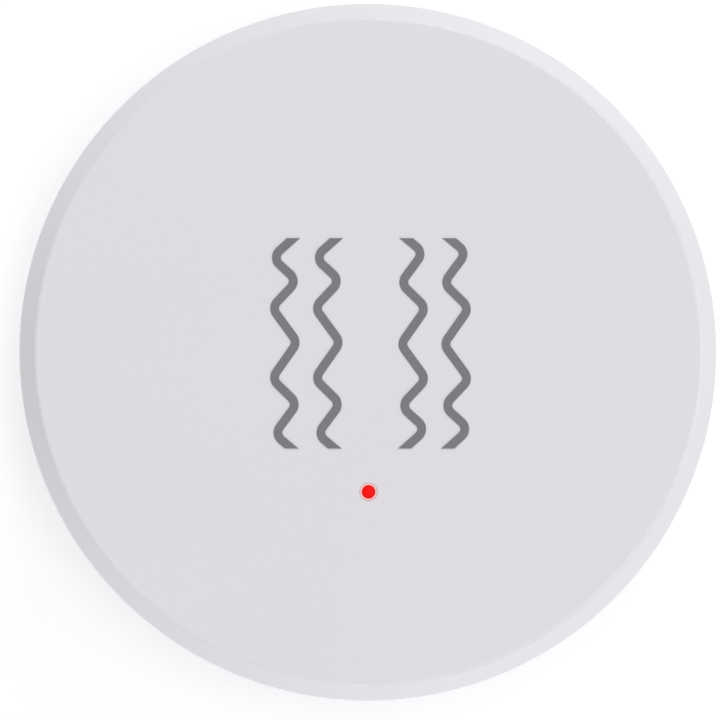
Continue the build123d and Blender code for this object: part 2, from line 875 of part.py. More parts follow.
# Coin cell: the can, the cap, the gasket between them and the packed core
can_inner = cell_radius - cell_sheet
crimp_inner = cell_radius - cell_crimp
with BuildPart() as coin_cell_can:
    with BuildSketch(Plane.XZ):
        with BuildLine():
            Polyline(
                (0, cell_bottom),
                (cell_radius, cell_bottom),
                (cell_radius, cell_rim_top),
                (crimp_inner, cell_rim_top),
                (crimp_inner, cell_rim_top - cell_sheet),
                (can_inner, cell_rim_top - cell_sheet),
                (can_inner, cell_bottom + cell_sheet),
                (0, cell_bottom + cell_sheet),
                close=True,
            )
        make_face()
    revolve(axis=Axis.Z)
    can_edges = coin_cell_can.edges().filter_by(GeomType.CIRCLE).group_by(SortBy.RADIUS)[-1]
    fillet(can_edges.sort_by(Axis.Z)[0], cell_corner)
    can_edges = coin_cell_can.edges().filter_by(GeomType.CIRCLE).group_by(SortBy.RADIUS)[-1]
    fillet(can_edges.sort_by(Axis.Z)[-1], cell_sheet)
save(coin_cell_can, "coin_cell_can")

with BuildPart() as coin_cell_cap:
    with BuildSketch(Plane.XZ):
        with BuildLine():
            Polyline(
                (0, cell_top),
                (cell_cap_radius, cell_top),
                (cell_cap_radius, cell_top - cell_cap_skirt),
                (cell_cap_radius - cell_sheet, cell_top - cell_cap_skirt),
                (cell_cap_radius - cell_sheet, cell_top - cell_sheet),
                (0, cell_top - cell_sheet),
                close=True,
            )
        make_face()
    revolve(axis=Axis.Z)
    cap_edges = coin_cell_cap.edges().filter_by(GeomType.CIRCLE).group_by(Axis.Z)[-1]
    fillet(cap_edges, cell_cap_corner)
save(coin_cell_cap, "coin_cell_cap")

gasket_inner = cell_cap_radius + cell_fit
gasket_outer = can_inner - cell_fit
with BuildPart() as coin_cell_gasket:
    with BuildSketch(Plane.XZ):
        with BuildLine():
            Polyline(
                (gasket_inner, cell_bottom + cell_sheet),
                (gasket_outer, cell_bottom + cell_sheet),
                (gasket_outer, cell_rim_top - cell_sheet),
                (crimp_inner - cell_fit, cell_rim_top - cell_sheet),
                (crimp_inner - cell_fit, cell_rim_top),
                (gasket_inner, cell_rim_top),
                close=True,
            )
        make_face()
    revolve(axis=Axis.Z)
save(coin_cell_gasket, "coin_cell_gasket")

with BuildPart() as coin_cell_core:
    with BuildSketch(Plane.XY.offset(cell_bottom + cell_sheet)):
        Circle(cell_cap_radius - cell_sheet - cell_core_gap)
    extrude(amount=cell_height - cell_sheet * 2)
save(coin_cell_core, "coin_cell_core")

# Reset switch: a moulded base, a steel frame with a window, the dome and four terminals
with BuildPart() as reset_switch_base:
    with BuildSketch(Plane.XY.offset(switch_bottom)):
        with Locations(button_place):
            Rectangle(switch_length, switch_width)
    extrude(amount=switch_height)
save(reset_switch_base, "reset_switch_base")

with BuildPart() as reset_switch_frame:
    with BuildSketch(Plane.XY.offset(switch_bottom - frame_sheet)):
        with Locations(button_place):
            Rectangle(switch_length + frame_sheet * 2, switch_width)
            Circle(window_radius, mode=Mode.SUBTRACT)
    extrude(amount=frame_sheet)
    with BuildSketch(Plane.XY.offset(switch_bottom)):
        with Locations(button_place):
            with GridLocations(switch_length + frame_sheet, switch_width, 2, 1):
                Rectangle(frame_sheet, switch_width)
    extrude(amount=frame_flap)
save(reset_switch_frame, "reset_switch_frame")

dome_plane = Plane.XZ.offset(-service_radius)
with BuildPart() as reset_switch_dome:
    with BuildSketch(dome_plane):
        with BuildLine():
            outside = TangentArc((0, dome_bottom), (dome_radius, switch_bottom), tangent=(1, 0))
            inside = TangentArc(
                (0, dome_bottom + dome_sheet),
                (dome_radius - dome_sheet * 2, switch_bottom),
                tangent=(1, 0),
            )
            Line(outside @ 0, inside @ 0)
            Line(outside @ 1, inside @ 1)
        make_face()
    revolve(axis=Axis((0, service_radius, 0), (0, 0, 1)))
save(reset_switch_dome, "reset_switch_dome")

with BuildPart() as reset_switch_terminals:
    with BuildSketch(Plane.XY.offset(board_bottom - terminal_sheet)):
        with Locations(button_place):
            with GridLocations(terminal_x * 2, terminal_spacing, 2, 2):
                Rectangle(terminal_length, terminal_width)
    extrude(amount=terminal_sheet)
save(reset_switch_terminals, "reset_switch_terminals")

# Reset plunger: a button in the tray, with a collar that keeps it in and a nub under the dome
plunger_bottom = cell_bottom + button_recess
plunger_top = dome_bottom - dome_gap
collar_height = (plunger_top - tray_top) * button_collar_share
with BuildPart() as reset_plunger:
    with BuildSketch(Plane.XY.offset(plunger_bottom)):
        with Locations(button_place):
            Circle(button_diameter / 2)
    extrude(amount=tray_top - plunger_bottom)
    fillet(reset_plunger.edges().group_by(Axis.Z)[0], button_edge)
    with BuildSketch(Plane.XY.offset(tray_top)):
        with Locations(button_place):
            Circle(button_diameter / 2 + button_clearance + button_ledge)
    extrude(amount=collar_height)
    with BuildSketch(Plane.XY.offset(tray_top + collar_height)):
        with Locations(button_place):
            Circle(button_nub_diameter / 2)
    extrude(amount=plunger_top - tray_top - collar_height)
save(reset_plunger, "reset_plunger")
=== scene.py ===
# %% [markdown]
# # A round stick-on vibration sensor tag
# The tag is a white disc, 40 mm across and 10 mm high, with a grey vibration symbol and a small red
# light on its front. A CAD model gives every solid part its shape and place. This notebook gives the
# parts their finishes, makes the soft, threaded and sprung pieces as finer surfaces, and sets up the
# lamps and the camera. Lengths are metres, mm is a thousandth of one, and the adhesive face lies on
# the floor at z = 0.

import math

import bmesh
import bpy
import numpy as np
from mathutils import Matrix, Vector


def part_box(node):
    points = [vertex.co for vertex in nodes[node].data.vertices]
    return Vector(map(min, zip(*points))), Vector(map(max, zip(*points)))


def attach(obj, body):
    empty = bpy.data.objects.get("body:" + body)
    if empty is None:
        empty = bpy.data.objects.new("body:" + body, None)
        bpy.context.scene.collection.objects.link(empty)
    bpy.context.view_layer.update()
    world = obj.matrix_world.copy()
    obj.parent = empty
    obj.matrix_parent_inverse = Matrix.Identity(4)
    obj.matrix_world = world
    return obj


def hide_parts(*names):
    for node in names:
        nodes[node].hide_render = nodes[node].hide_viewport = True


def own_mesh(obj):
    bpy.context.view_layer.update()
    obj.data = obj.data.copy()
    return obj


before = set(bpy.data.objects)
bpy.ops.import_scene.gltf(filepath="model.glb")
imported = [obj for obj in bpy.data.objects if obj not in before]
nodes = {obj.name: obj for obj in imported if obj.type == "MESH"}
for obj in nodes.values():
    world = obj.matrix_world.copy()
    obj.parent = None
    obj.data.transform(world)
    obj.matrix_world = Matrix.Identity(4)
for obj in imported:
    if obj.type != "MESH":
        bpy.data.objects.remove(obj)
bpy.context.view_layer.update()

# %% [markdown]
# ## Colours, as a picture stores them
# A picture file keeps colours bent by a curve so that dark tones get more steps, while a shader wants
# plain amounts of light. Every colour below is written the way a colour picker shows it, from 0 to
# 255, and this helper straightens it.

# %% Picture colours to shader colours
def paint(red, green, blue):
    """Linear colour: c/12.92 below 0.04045, and ((c + 0.055)/1.055)^2.4 above, for c from 0 to 1."""
    c = np.array([red, green, blue]) / 255
    straight = np.where(c <= 0.04045, c / 12.92, ((c + 0.055) / 1.055) ** 2.4)
    return (*map(float, straight), 1.0)


scene = bpy.context.scene
scene.view_settings.view_transform = "Standard"
print("mid grey 128 becomes", round(paint(128, 128, 128)[0], 3))

# %% [markdown]
# ## The camera
# The tag was photographed from almost straight above: the bevel is nearly as wide on all sides, so
# the camera leans by one to two degrees. A long lens far away keeps the disc round. The lens length
# follows from the size that the disc has in the picture, and the camera is aimed a little beside the
# middle because the disc isn't quite in the middle of the picture either.

# %% Camera placed from the picture's measures
mm = 0.001
picture_side = 720
disc_radius = 20.0 * mm
disc_radius_pixels = 348.48
disc_middle_pixels = np.array([368.2, 351.6])
widest_height = 8.5 * mm
camera_distance = 300.0 * mm
sensor_width = 36.0
lean_right = math.radians(-0.75)
lean_down = math.radians(1.55)

pixels_per_metre = disc_radius_pixels / disc_radius
aside = (picture_side / 2 - disc_middle_pixels) / pixels_per_metre
aim = np.array([aside[0], -aside[1], widest_height])
back = np.array([math.tan(lean_right), -math.tan(lean_down), 1.0])
back /= np.linalg.norm(back)
right = np.cross([0, 1, 0], back)
right /= np.linalg.norm(right)
up = np.cross(back, right)

camera_data = bpy.data.cameras.new("camera")
camera_data.sensor_width = sensor_width
camera_data.lens = sensor_width * pixels_per_metre * camera_distance / picture_side
camera = bpy.data.objects.new("camera", camera_data)
scene.collection.objects.link(camera)
pose = np.eye(4)
pose[:3] = np.stack([right, up, back, aim + back * camera_distance], axis=1)
camera.matrix_world = Matrix(pose.tolist())
scene.camera = camera
print("lens:", round(camera_data.lens, 1), "mm")

# %% [markdown]
# ## The floor and the light
# The tag lies on a plain pale sheet in soft light from all sides, the way small products are
# photographed in a light tent, with long soft lamps low at the right, behind and in front, and a
# weak one above. The sheet and the tent look white to the camera and in reflections, by a switch on
# the kind of ray, so no lamp is turned up for it, and the sheet still darkens where the tag shades it.

# %% Node helpers
def feed(tree, socket, value):
    """Links an output to a socket, or sets the socket to a plain value."""
    if isinstance(value, bpy.types.NodeSocket):
        tree.links.new(value, socket)
    else:
        socket.default_value = value


def put(tree, kind, sockets=None, **settings):
    """Adds a node to a tree. A socket takes a value, or a link where it is given an output."""
    made = tree.nodes.new(kind)
    for name, value in settings.items():
        setattr(made, name, value)
    for name, value in (sockets or {}).items():
        feed(tree, made.inputs[name], value)
    return made


def sum_of(tree, operation, first, second=0.0, third=0.0):
    """The output of a Math node for one, two or three numbers or outputs."""
    return put(tree, "ShaderNodeMath", {0: first, 1: second, 2: third}, operation=operation).outputs[0]


def step_between(tree, value, nought, one):
    """0 at the first bound and before it, 1 at the second and past it, with 3t^2 - 2t^3 between."""
    bounds = {"Value": value, "From Min": nought, "From Max": one}
    made = put(tree, "ShaderNodeMapRange", bounds, interpolation_type="SMOOTHSTEP")
    return made.outputs["Result"]


print("helpers: feed, put, sum_of, step_between")


# %% The parts of a point, and the rays that see white
def parts_of(tree, vector):
    """The X, Y and Z of a point."""
    return put(tree, "ShaderNodeSeparateXYZ", {0: vector}).outputs


def from_axis(tree, parts):
    """sqrt(x^2 + y^2), the distance of a point from the middle axis of the tag."""
    y_square = sum_of(tree, "MULTIPLY", parts["Y"], parts["Y"])
    return sum_of(tree, "SQRT", sum_of(tree, "MULTIPLY_ADD", parts["X"], parts["X"], y_square))


def white_to_camera(tree):
    """1 for rays from the camera, mirror rays and rays through glass, and 0 for all others."""
    path = put(tree, "ShaderNodeLightPath")
    mirror = sum_of(tree, "MAXIMUM", path.outputs["Is Camera Ray"], path.outputs["Is Glossy Ray"])
    return sum_of(tree, "MAXIMUM", mirror, path.outputs["Is Transmission Ray"])


print("helpers: parts_of, from_axis, white_to_camera")

# %% Soft light from all sides
tent_level = 0.68
world = bpy.data.worlds.new("light tent")
scene.world = world
world.use_nodes = True
sky = world.node_tree
sky.nodes.clear()
seen = white_to_camera(sky)
level = put(sky, "ShaderNodeMix", {"Factor": seen, "A": tent_level, "B": 1.0}).outputs["Result"]
glow = put(sky, "ShaderNodeBackground", {"Color": paint(255, 255, 255), "Strength": level})
put(sky, "ShaderNodeOutputWorld", {"Surface": glow.outputs["Background"]})
print("light from all sides:", tent_level)

# %% Lamps, each with its direction in degrees, its height in degrees and its power in watts
lamps = [
    ("lamp_right", 0.0, 4.0, 0.62),
    ("lamp_behind", 78.0, 21.0, 1.08),
    ("lamp_front", 279.0, 11.0, 0.96),
    ("lamp_above", 0.0, 80.0, 0.33),
]
lamp_distance, lamp_length, lamp_width = 0.6, 0.30, 0.12
for name, azimuth, elevation, watts in lamps:
    lamp_data = bpy.data.lights.new(name, "AREA")
    lamp_data.shape = "RECTANGLE"
    lamp_data.size, lamp_data.size_y = lamp_length, lamp_width
    lamp_data.energy = watts
    lamp = bpy.data.objects.new(name, lamp_data)
    scene.collection.objects.link(lamp)
    a, e = math.radians(azimuth), math.radians(elevation)
    toward = np.array([math.cos(a) * math.cos(e), math.sin(a) * math.cos(e), math.sin(e)])
    level_axis = np.cross([0, 0, 1], toward)
    level_axis /= np.linalg.norm(level_axis)
    upright_axis = np.cross(toward, level_axis)
    pose = np.eye(4)
    pose[:3] = np.stack([level_axis, upright_axis, toward, toward * lamp_distance], axis=1)
    lamp.matrix_world = Matrix(pose.tolist())
print("lamps:", len(lamps))

# %% [markdown]
# ## Surfaces from formulas
# Every new piece below is a grid of points that numpy works out all at once from a formula, and its
# faces join neighbouring points. A lathe shape is a profile carried round an axis, and a bent strip
# is a section carried along a path.

# %% From a grid of points to a mesh
def surface(name, grid, around_rows=False, around_columns=False):
    """A piece from points[row, column]; face (i, j) joins (i, j), (i+1, j), (i+1, j+1), (i, j+1)."""
    rows, columns = grid.shape[:2]
    i = np.arange(rows if around_rows else rows - 1)[:, None]
    j = np.arange(columns if around_columns else columns - 1)[None, :]
    i_next, j_next = (i + 1) % rows, (j + 1) % columns
    corners = (i * columns + j, i_next * columns + j, i_next * columns + j_next, i * columns + j_next)
    faces = np.stack([np.broadcast_to(c, (i.size, j.size)) for c in corners], axis=-1).reshape(-1, 4)
    return piece_from(name, grid.reshape(-1, 3), faces)


merge_distance, least_edge = 1e-7, 1e-8
sharp_bend = math.radians(50)


def piece_from(name, points, faces):
    """A smooth mesh object whose doubled points are merged and whose faces point outwards."""
    mesh = bpy.data.meshes.new(name)
    mesh.from_pydata(points, [], faces)
    work = bmesh.new()
    work.from_mesh(mesh)
    bmesh.ops.remove_doubles(work, verts=work.verts, dist=merge_distance)
    bmesh.ops.dissolve_degenerate(work, edges=work.edges, dist=least_edge)
    bmesh.ops.recalc_face_normals(work, faces=work.faces)
    work.to_mesh(mesh)
    work.free()
    mesh.shade_smooth()
    mesh.set_sharp_from_angle(angle=sharp_bend)
    made = bpy.data.objects.new(name, mesh)
    scene.collection.objects.link(made)
    print(name, len(mesh.polygons), "faces")
    return made


# %% Profiles with rounded corners
def rounded(points, radii, steps=5):
    """Each inner corner b becomes (1-s)^2 p + 2s(1-s) b + s^2 q, with p and q a radius away."""
    points = np.asarray(points, float)
    radii = np.asarray(radii, float)[1:-1, None, None]
    b = points[1:-1, None, :]
    to_before, to_after = points[:-2, None, :] - b, points[2:, None, :] - b
    to_before /= np.linalg.norm(to_before, axis=2, keepdims=True)
    to_after /= np.linalg.norm(to_after, axis=2, keepdims=True)
    s = np.linspace(0, 1, steps)[None, :, None]
    arcs = (1 - s) ** 2 * (b + to_before * radii) + 2 * s * (1 - s) * b + s**2 * (b + to_after * radii)
    return np.concatenate([points[:1], arcs.reshape(-1, points.shape[1]), points[-1:]])


def lathe(profile, columns, centre=(0.0, 0.0)):
    """Points (x0 + r cos t, y0 + r sin t, z) for each (r, z) of the profile and each angle t."""
    t = np.linspace(0, 2 * np.pi, columns, endpoint=False)[None, :]
    r, z = profile[:, 0][:, None], profile[:, 1][:, None]
    x, y = centre[0] + r * np.cos(t), centre[1] + r * np.sin(t)
    return np.stack([x, y, z + 0 * t], axis=-1)


def oval(count, p, q):
    """The closed curve x = sign(cos u) |cos u|^p, y = sign(sin u) |sin u|^q, from -1 to 1."""
    u = np.linspace(0, 2 * np.pi, count, endpoint=False)
    return np.sign(np.cos(u)) * np.abs(np.cos(u)) ** p, np.sign(np.sin(u)) * np.abs(np.sin(u)) ** q


def at_height(radii, height):
    """Profile points (r, height) for each r."""
    return np.stack([radii, np.full_like(radii, height)], axis=1)


print("a rounded corner:", len(rounded([(0, 0), (1, 0), (1, 1)], [0, 0.2, 0])) - 2, "points")

# %% [markdown]
# ## The floor sheet
# A plain square sheet. From below it can be looked through. Light, but not the camera, also passes
# through a round window under the tag, a little smaller than the base, so that light from below
# reaches the adhesive face and the foot.

# %% Floor
half_side = 1.5
floor_glow = 0.4
window_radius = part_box("base_plate")[1].x - 0.6 * mm
steps_across = np.linspace(-half_side, half_side, 3)
x, y = np.meshgrid(steps_across, steps_across, indexing="ij")
floor = surface("floor_sheet", np.stack([x, y, 0 * x], axis=-1))
floor_finish = bpy.data.materials.new("pale floor sheet")
floor_finish.use_nodes = True
tree = floor_finish.node_tree
tree.nodes.clear()
seen = white_to_camera(tree)
strength = sum_of(tree, "MULTIPLY", seen, floor_glow)
dull = put(tree, "ShaderNodeBsdfDiffuse", {"Color": paint(222, 222, 224)})
shine = put(tree, "ShaderNodeEmission", {"Color": paint(255, 255, 255), "Strength": strength})
both = put(tree, "ShaderNodeAddShader", {0: dull.outputs[0], 1: shine.outputs[0]})
clear = put(tree, "ShaderNodeBsdfTransparent")
side = put(tree, "ShaderNodeNewGeometry").outputs["Backfacing"]
spot = put(tree, "ShaderNodeTexCoord").outputs["Object"]
reach = put(tree, "ShaderNodeVectorMath", {0: spot}, operation="LENGTH").outputs["Value"]
window = sum_of(tree, "LESS_THAN", reach, window_radius)
looked_at = put(tree, "ShaderNodeLightPath").outputs["Is Camera Ray"]
lit_part = sum_of(tree, "MULTIPLY", window, sum_of(tree, "SUBTRACT", 1.0, looked_at))
open_part = sum_of(tree, "MAXIMUM", side, lit_part)
choice = put(tree, "ShaderNodeMixShader", {0: open_part, 1: both.outputs[0], 2: clear.outputs[0]})
put(tree, "ShaderNodeOutputMaterial", {"Surface": choice.outputs[0]})
floor.data.materials.append(floor_finish)

# %% [markdown]
# ## Effects that several finishes share
# Real plastics and metals are never one flat tone. Each effect here is a node group with named
# inputs, built once: a slow drift of tone, the pebbly grain that spark erosion leaves in a mould, fine
# wiping marks, worn edges, lathe marks and the cells of foam. Scales are in features per metre.

# %% A start for every group
def effect(name, inputs, outputs):
    """A new shader group, with its input and output nodes."""
    group = bpy.data.node_groups.new(name, "ShaderNodeTree")
    kinds = {"v": "NodeSocketVector", "f": "NodeSocketFloat", "c": "NodeSocketColor"}
    for title, kind, value in inputs:
        socket = group.interface.new_socket(title, in_out="INPUT", socket_type=kinds[kind])
        if value is not None:
            socket.default_value = value
    for title, kind in outputs:
        group.interface.new_socket(title, in_out="OUTPUT", socket_type=kinds[kind])
    return group, put(group, "NodeGroupInput").outputs, put(group, "NodeGroupOutput").inputs


def noise(tree, vector, scale, detail=2.0, roughness=0.5):
    """The value of a noise pattern, from about 0.2 to 0.8."""
    made = put(
        tree,
        "ShaderNodeTexNoise",
        {"Vector": vector, "Scale": scale, "Detail": detail, "Roughness": roughness},
    )
    return made.outputs["Fac"]


print("helpers: effect, noise")

# %% Tone drift and moulded grain
drift, start, end = effect(
    "tone drift",
    [
        ("Vector", "v", None),
        ("Color", "c", (0.8, 0.8, 0.8, 1)),
        ("Scale", "f", 60.0),
        ("Amount", "f", 0.02),
    ],
    [("Color", "c"), ("Mask", "f")],
)
slow = noise(drift, start["Vector"], start["Scale"], 3.0)
swing = sum_of(drift, "MULTIPLY", sum_of(drift, "SUBTRACT", slow, 0.5), start["Amount"])
factor = sum_of(drift, "MULTIPLY_ADD", swing, 4.0, 1.0)
tinted = put(drift, "ShaderNodeVectorMath", {0: start["Color"], "Scale": factor}, operation="SCALE")
feed(drift, end["Color"], tinted.outputs[0])
feed(drift, end["Mask"], slow)

grain, start, end = effect(
    "moulded grain",
    [("Vector", "v", None), ("Scale", "f", 9000.0)],
    [("Height", "f"), ("Mask", "f")],
)
pebbles = put(
    grain,
    "ShaderNodeTexVoronoi",
    {"Vector": start["Vector"], "Scale": start["Scale"], "Smoothness": 0.8},
    feature="SMOOTH_F1",
)
half_scale = sum_of(grain, "MULTIPLY", start["Scale"], 0.45)
waves = noise(grain, start["Vector"], half_scale, 3.0, 0.55)
feed(grain, end["Height"], sum_of(grain, "MULTIPLY_ADD", pebbles.outputs["Distance"], 0.5, waves))
feed(grain, end["Mask"], waves)
print("effects:", drift.name, "and", grain.name)

# %% Wiping marks and worn edges
wipes, start, end = effect(
    "wiping marks",
    [("Vector", "v", None), ("Scale", "f", 300.0), ("Share", "f", 0.5)],
    [("Mask", "f")],
)
stretch = {"Vector": start["Vector"], "Rotation": (0, 0, 0.7), "Scale": (1, 9, 9)}
stretched = put(wipes, "ShaderNodeMapping", stretch).outputs[0]
streaks = noise(wipes, stretched, start["Scale"], 4.0, 0.65)
patches = noise(wipes, start["Vector"], sum_of(wipes, "MULTIPLY", start["Scale"], 0.2), 1.0)
lines = step_between(wipes, streaks, 0.58, 0.68)
places = step_between(wipes, patches, 0.48, 0.62)
marks = sum_of(wipes, "MULTIPLY", lines, places)
feed(wipes, end["Mask"], sum_of(wipes, "MULTIPLY", marks, start["Share"]))

edges, start, end = effect(
    "worn edges",
    [("Vector", "v", None), ("Scale", "f", 900.0)],
    [("Mask", "f")],
)
rounded_off = put(edges, "ShaderNodeBevel", {"Radius": 0.12 * mm}, samples=4).outputs[0]
true = put(edges, "ShaderNodeNewGeometry").outputs["Normal"]
likeness = put(edges, "ShaderNodeVectorMath", {0: rounded_off, 1: true}, operation="DOT_PRODUCT")
edge = step_between(edges, likeness.outputs["Value"], 0.97, 0.88)
broken = step_between(edges, noise(edges, start["Vector"], start["Scale"], 3.0), 0.42, 0.6)
feed(edges, end["Mask"], sum_of(edges, "MULTIPLY", edge, broken))
print("effects:", wipes.name, "and", edges.name)

# %% Lathe marks and rolled lines
rings, start, end = effect(
    "lathe marks",
    [("Vector", "v", None), ("Scale", "f", 9000.0)],
    [("Height", "f"), ("Mask", "f")],
)
xyz = parts_of(rings, start["Vector"])
angle = sum_of(rings, "ARCTAN2", xyz["Y"], xyz["X"])
way_per_radian = 0.12 * mm
way_round = sum_of(rings, "MULTIPLY", angle, way_per_radian)
polar = {"X": from_axis(rings, xyz), "Y": way_round, "Z": xyz["Z"]}
turned = put(rings, "ShaderNodeCombineXYZ", polar).outputs[0]
wide_scale = sum_of(rings, "MULTIPLY", start["Scale"], 0.12)
feed(rings, end["Height"], noise(rings, turned, start["Scale"], 3.0, 0.6))
feed(rings, end["Mask"], noise(rings, turned, wide_scale, 2.0))

rolled, start, end = effect(
    "rolled lines",
    [("Vector", "v", None), ("Scale", "f", 6000.0)],
    [("Height", "f"), ("Mask", "f")],
)
pulled = put(rolled, "ShaderNodeMapping", {"Vector": start["Vector"], "Scale": (0.05, 1, 1)})
blotch_scale = sum_of(rolled, "MULTIPLY", start["Scale"], 0.1)
feed(rolled, end["Height"], noise(rolled, pulled.outputs[0], start["Scale"], 3.0, 0.6))
feed(rolled, end["Mask"], noise(rolled, start["Vector"], blotch_scale, 3.0))
print("effects:", rings.name, "and", rolled.name)

# %% Foam cells
cells, start, end = effect(
    "foam cells",
    [("Vector", "v", None), ("Scale", "f", 5000.0)],
    [("Height", "f"), ("Mask", "f")],
)
fine_scale = sum_of(cells, "MULTIPLY", start["Scale"], 2.6)
coarse, fine = (
    put(cells, "ShaderNodeTexVoronoi", {"Vector": start["Vector"], "Scale": scale}).outputs["Distance"]
    for scale in (start["Scale"], fine_scale)
)
pit = sum_of(cells, "MINIMUM", coarse, sum_of(cells, "ADD", fine, 0.15))
feed(cells, end["Height"], pit)
# the mask is 1 in the pits, where the foam finishes paint shade
feed(cells, end["Mask"], step_between(cells, pit, 0.42, 0.12))
print("effect:", cells.name)


# %% [markdown]
# ## A start for every finish
# Each finish begins the same way: an empty material with a Principled shader, and the point on the
# object where it is being shaded. A mask tints the colour or shifts the gloss, and a height gives the
# light something to catch on.

# %% Helpers for finishes
class Finish:
    """A material under construction: its tree, its shader and the coordinates of the object."""

    def __init__(self, name):
        self.material = bpy.data.materials.new(name)
        self.material.use_nodes = True
        self.tree = self.material.node_tree
        self.tree.nodes.clear()
        self.shader = put(self.tree, "ShaderNodeBsdfPrincipled")
        put(self.tree, "ShaderNodeOutputMaterial", {"Surface": self.shader.outputs[0]})
        self.place = put(self.tree, "ShaderNodeTexCoord").outputs["Object"]

    def use(self, group, **values):
        """Places an effect, with its inputs by name, and returns its outputs."""
        inputs = {"Vector": self.place, **values}
        return put(self.tree, "ShaderNodeGroup", inputs, node_tree=group).outputs

    def mix(self, mask, first, second):
        """first where the mask is 0 and second where it is 1, as a colour."""
        factor, color_a, color_b, color_out = 0, 6, 7, 2
        sockets = {factor: mask, color_a: first, color_b: second}
        return put(self.tree, "ShaderNodeMix", sockets, data_type="RGBA").outputs[color_out]

    def set(self, **values):
        """Sets or links the shader's own sockets, with _ for a space."""
        for name, value in values.items():
            feed(self.tree, self.shader.inputs[name.replace("_", " ")], value)

    def raise_by(self, height, depth, under=None):
        """Bumps the surface by height times depth, in metres, on top of an earlier bump."""
        sockets = {"Height": height, "Distance": depth}
        if under:
            sockets["Normal"] = under
        bump = put(self.tree, "ShaderNodeBump", sockets).outputs[0]
        feed(self.tree, self.shader.inputs["Normal"], bump)
        return bump

    def sums(self, operation, *values):
        """sum_of in this finish."""
        return sum_of(self.tree, operation, *values)

    def step(self, *values):
        """step_between in this finish."""
        return step_between(self.tree, *values)


finishes = {}
print("helper: Finish")

# %% [markdown]
# ## Moulded plastics
# The housing, base, tray, button and switch are injection moulded. Their moulds were spark eroded, so
# the plastic has a fine pebbly grain, slightly glossier on its high spots, with a slow drift of
# tone, faint wiping marks and edges that handling has polished. The slanted edge of the cover comes
# from a polished part of the mould, so it has a gloss over the same plastic, and its colour is
# painted a little darker than the face, as painted shade.

# %% Edges that are circles
def near_rims(finish, rims):
    """1 within 0.06 mm of a circle round the axis at that radius and height, and 0 past 0.2 mm."""
    split = parts_of(finish.tree, finish.place)
    reach = from_axis(finish.tree, split)
    nearest = 1.0
    for radius, height in rims:
        out = finish.sums("POWER", finish.sums("SUBTRACT", reach, radius), 2.0)
        rise = finish.sums("POWER", finish.sums("SUBTRACT", split["Z"], height), 2.0)
        nearest = finish.sums("MINIMUM", nearest, finish.sums("SQRT", finish.sums("ADD", out, rise)))
    broken = finish.step(noise(finish.tree, finish.place, 700.0, 3.0), 0.4, 0.62)
    return finish.sums("MULTIPLY", finish.step(nearest, 0.2 * mm, 0.06 * mm), broken)


print("helper: near_rims")


# %% Moulded plastic
def moulded(name, color, grain_scale, depth, roughness, wear=0.4, tone=0.012, worn=None, rims=()):
    """A plastic with grain, drift of tone, wiping marks and polished edges. Where rims are given as
    (radius, height) circles, an edge is what lies near one, and otherwise it is any sharp bend."""
    finish = Finish(name)
    drifted = finish.use(drift, Color=color, Amount=tone)
    pebbly = finish.use(grain, Scale=grain_scale)
    rub = finish.use(wipes, Share=wear)["Mask"]
    edge_mask = near_rims(finish, rims) if rims else finish.use(edges)["Mask"]
    edge_share = finish.sums("MULTIPLY", edge_mask, wear)
    pale = worn or tuple(min(1.0, c * 1.06 + 0.01) for c in color[:3]) + (1.0,)
    grain_swing, rub_gloss = 0.12, 0.14
    finish.set(
        Base_Color=finish.mix(edge_share, drifted["Color"], pale),
        Roughness=finish.sums(
            "SUBTRACT",
            finish.sums("MULTIPLY_ADD", pebbly["Mask"], grain_swing, roughness - grain_swing / 2),
            finish.sums("MULTIPLY", finish.sums("MAXIMUM", rub, edge_share), rub_gloss),
        ),
    )
    finish.raise_by(pebbly["Height"], depth)
    finishes[name] = finish
    return finish


cover_rims = [(19.06 * mm, 10.0 * mm), (20.0 * mm, 8.6 * mm), (20.0 * mm, 2.1 * mm)]
# name, colour, grains per metre, depth of the grain, roughness, wear, drift of tone, worn colour
shell = moulded("shell", paint(229, 226, 232), 7000.0, 0.006 * mm, 0.6, 0.35, 0.006, rims=cover_rims)
moulded("base", paint(224, 222, 227), 7000.0, 0.008 * mm, 0.55, 0.5, 0.01)
moulded("tray", paint(199, 200, 203), 6000.0, 0.008 * mm, 0.5, 0.5, 0.015)
moulded("switch_base", paint(46, 46, 48), 9000.0, 0.005 * mm, 0.5)
moulded("button", paint(196, 66, 50), 9000.0, 0.005 * mm, 0.38, 0.6, 0.02)
moulded("chip", paint(42, 43, 46), 14000.0, 0.005 * mm, 0.45, 0.3, 0.03, paint(82, 83, 86))
moulded("lamp_base", paint(236, 235, 231), 12000.0, 0.003 * mm, 0.4)
moulded("cell_gasket", paint(112, 113, 120), 9000.0, 0.004 * mm, 0.42)
print("moulded plastics:", sorted(finishes))

# %% The slanted edge of the cover and its sunken arrow, both with painted shade
split = parts_of(shell.tree, shell.place)
reach = from_axis(shell.tree, split)
face_radius, side_top = cover_rims[0][0], cover_rims[1][1]
past_face = shell.step(reach, face_radius - 0.1 * mm, face_radius + 0.1 * mm)
past_side = shell.step(split["Z"], side_top - 0.2 * mm, side_top)
slanted = shell.sums("MULTIPLY", past_face, past_side)
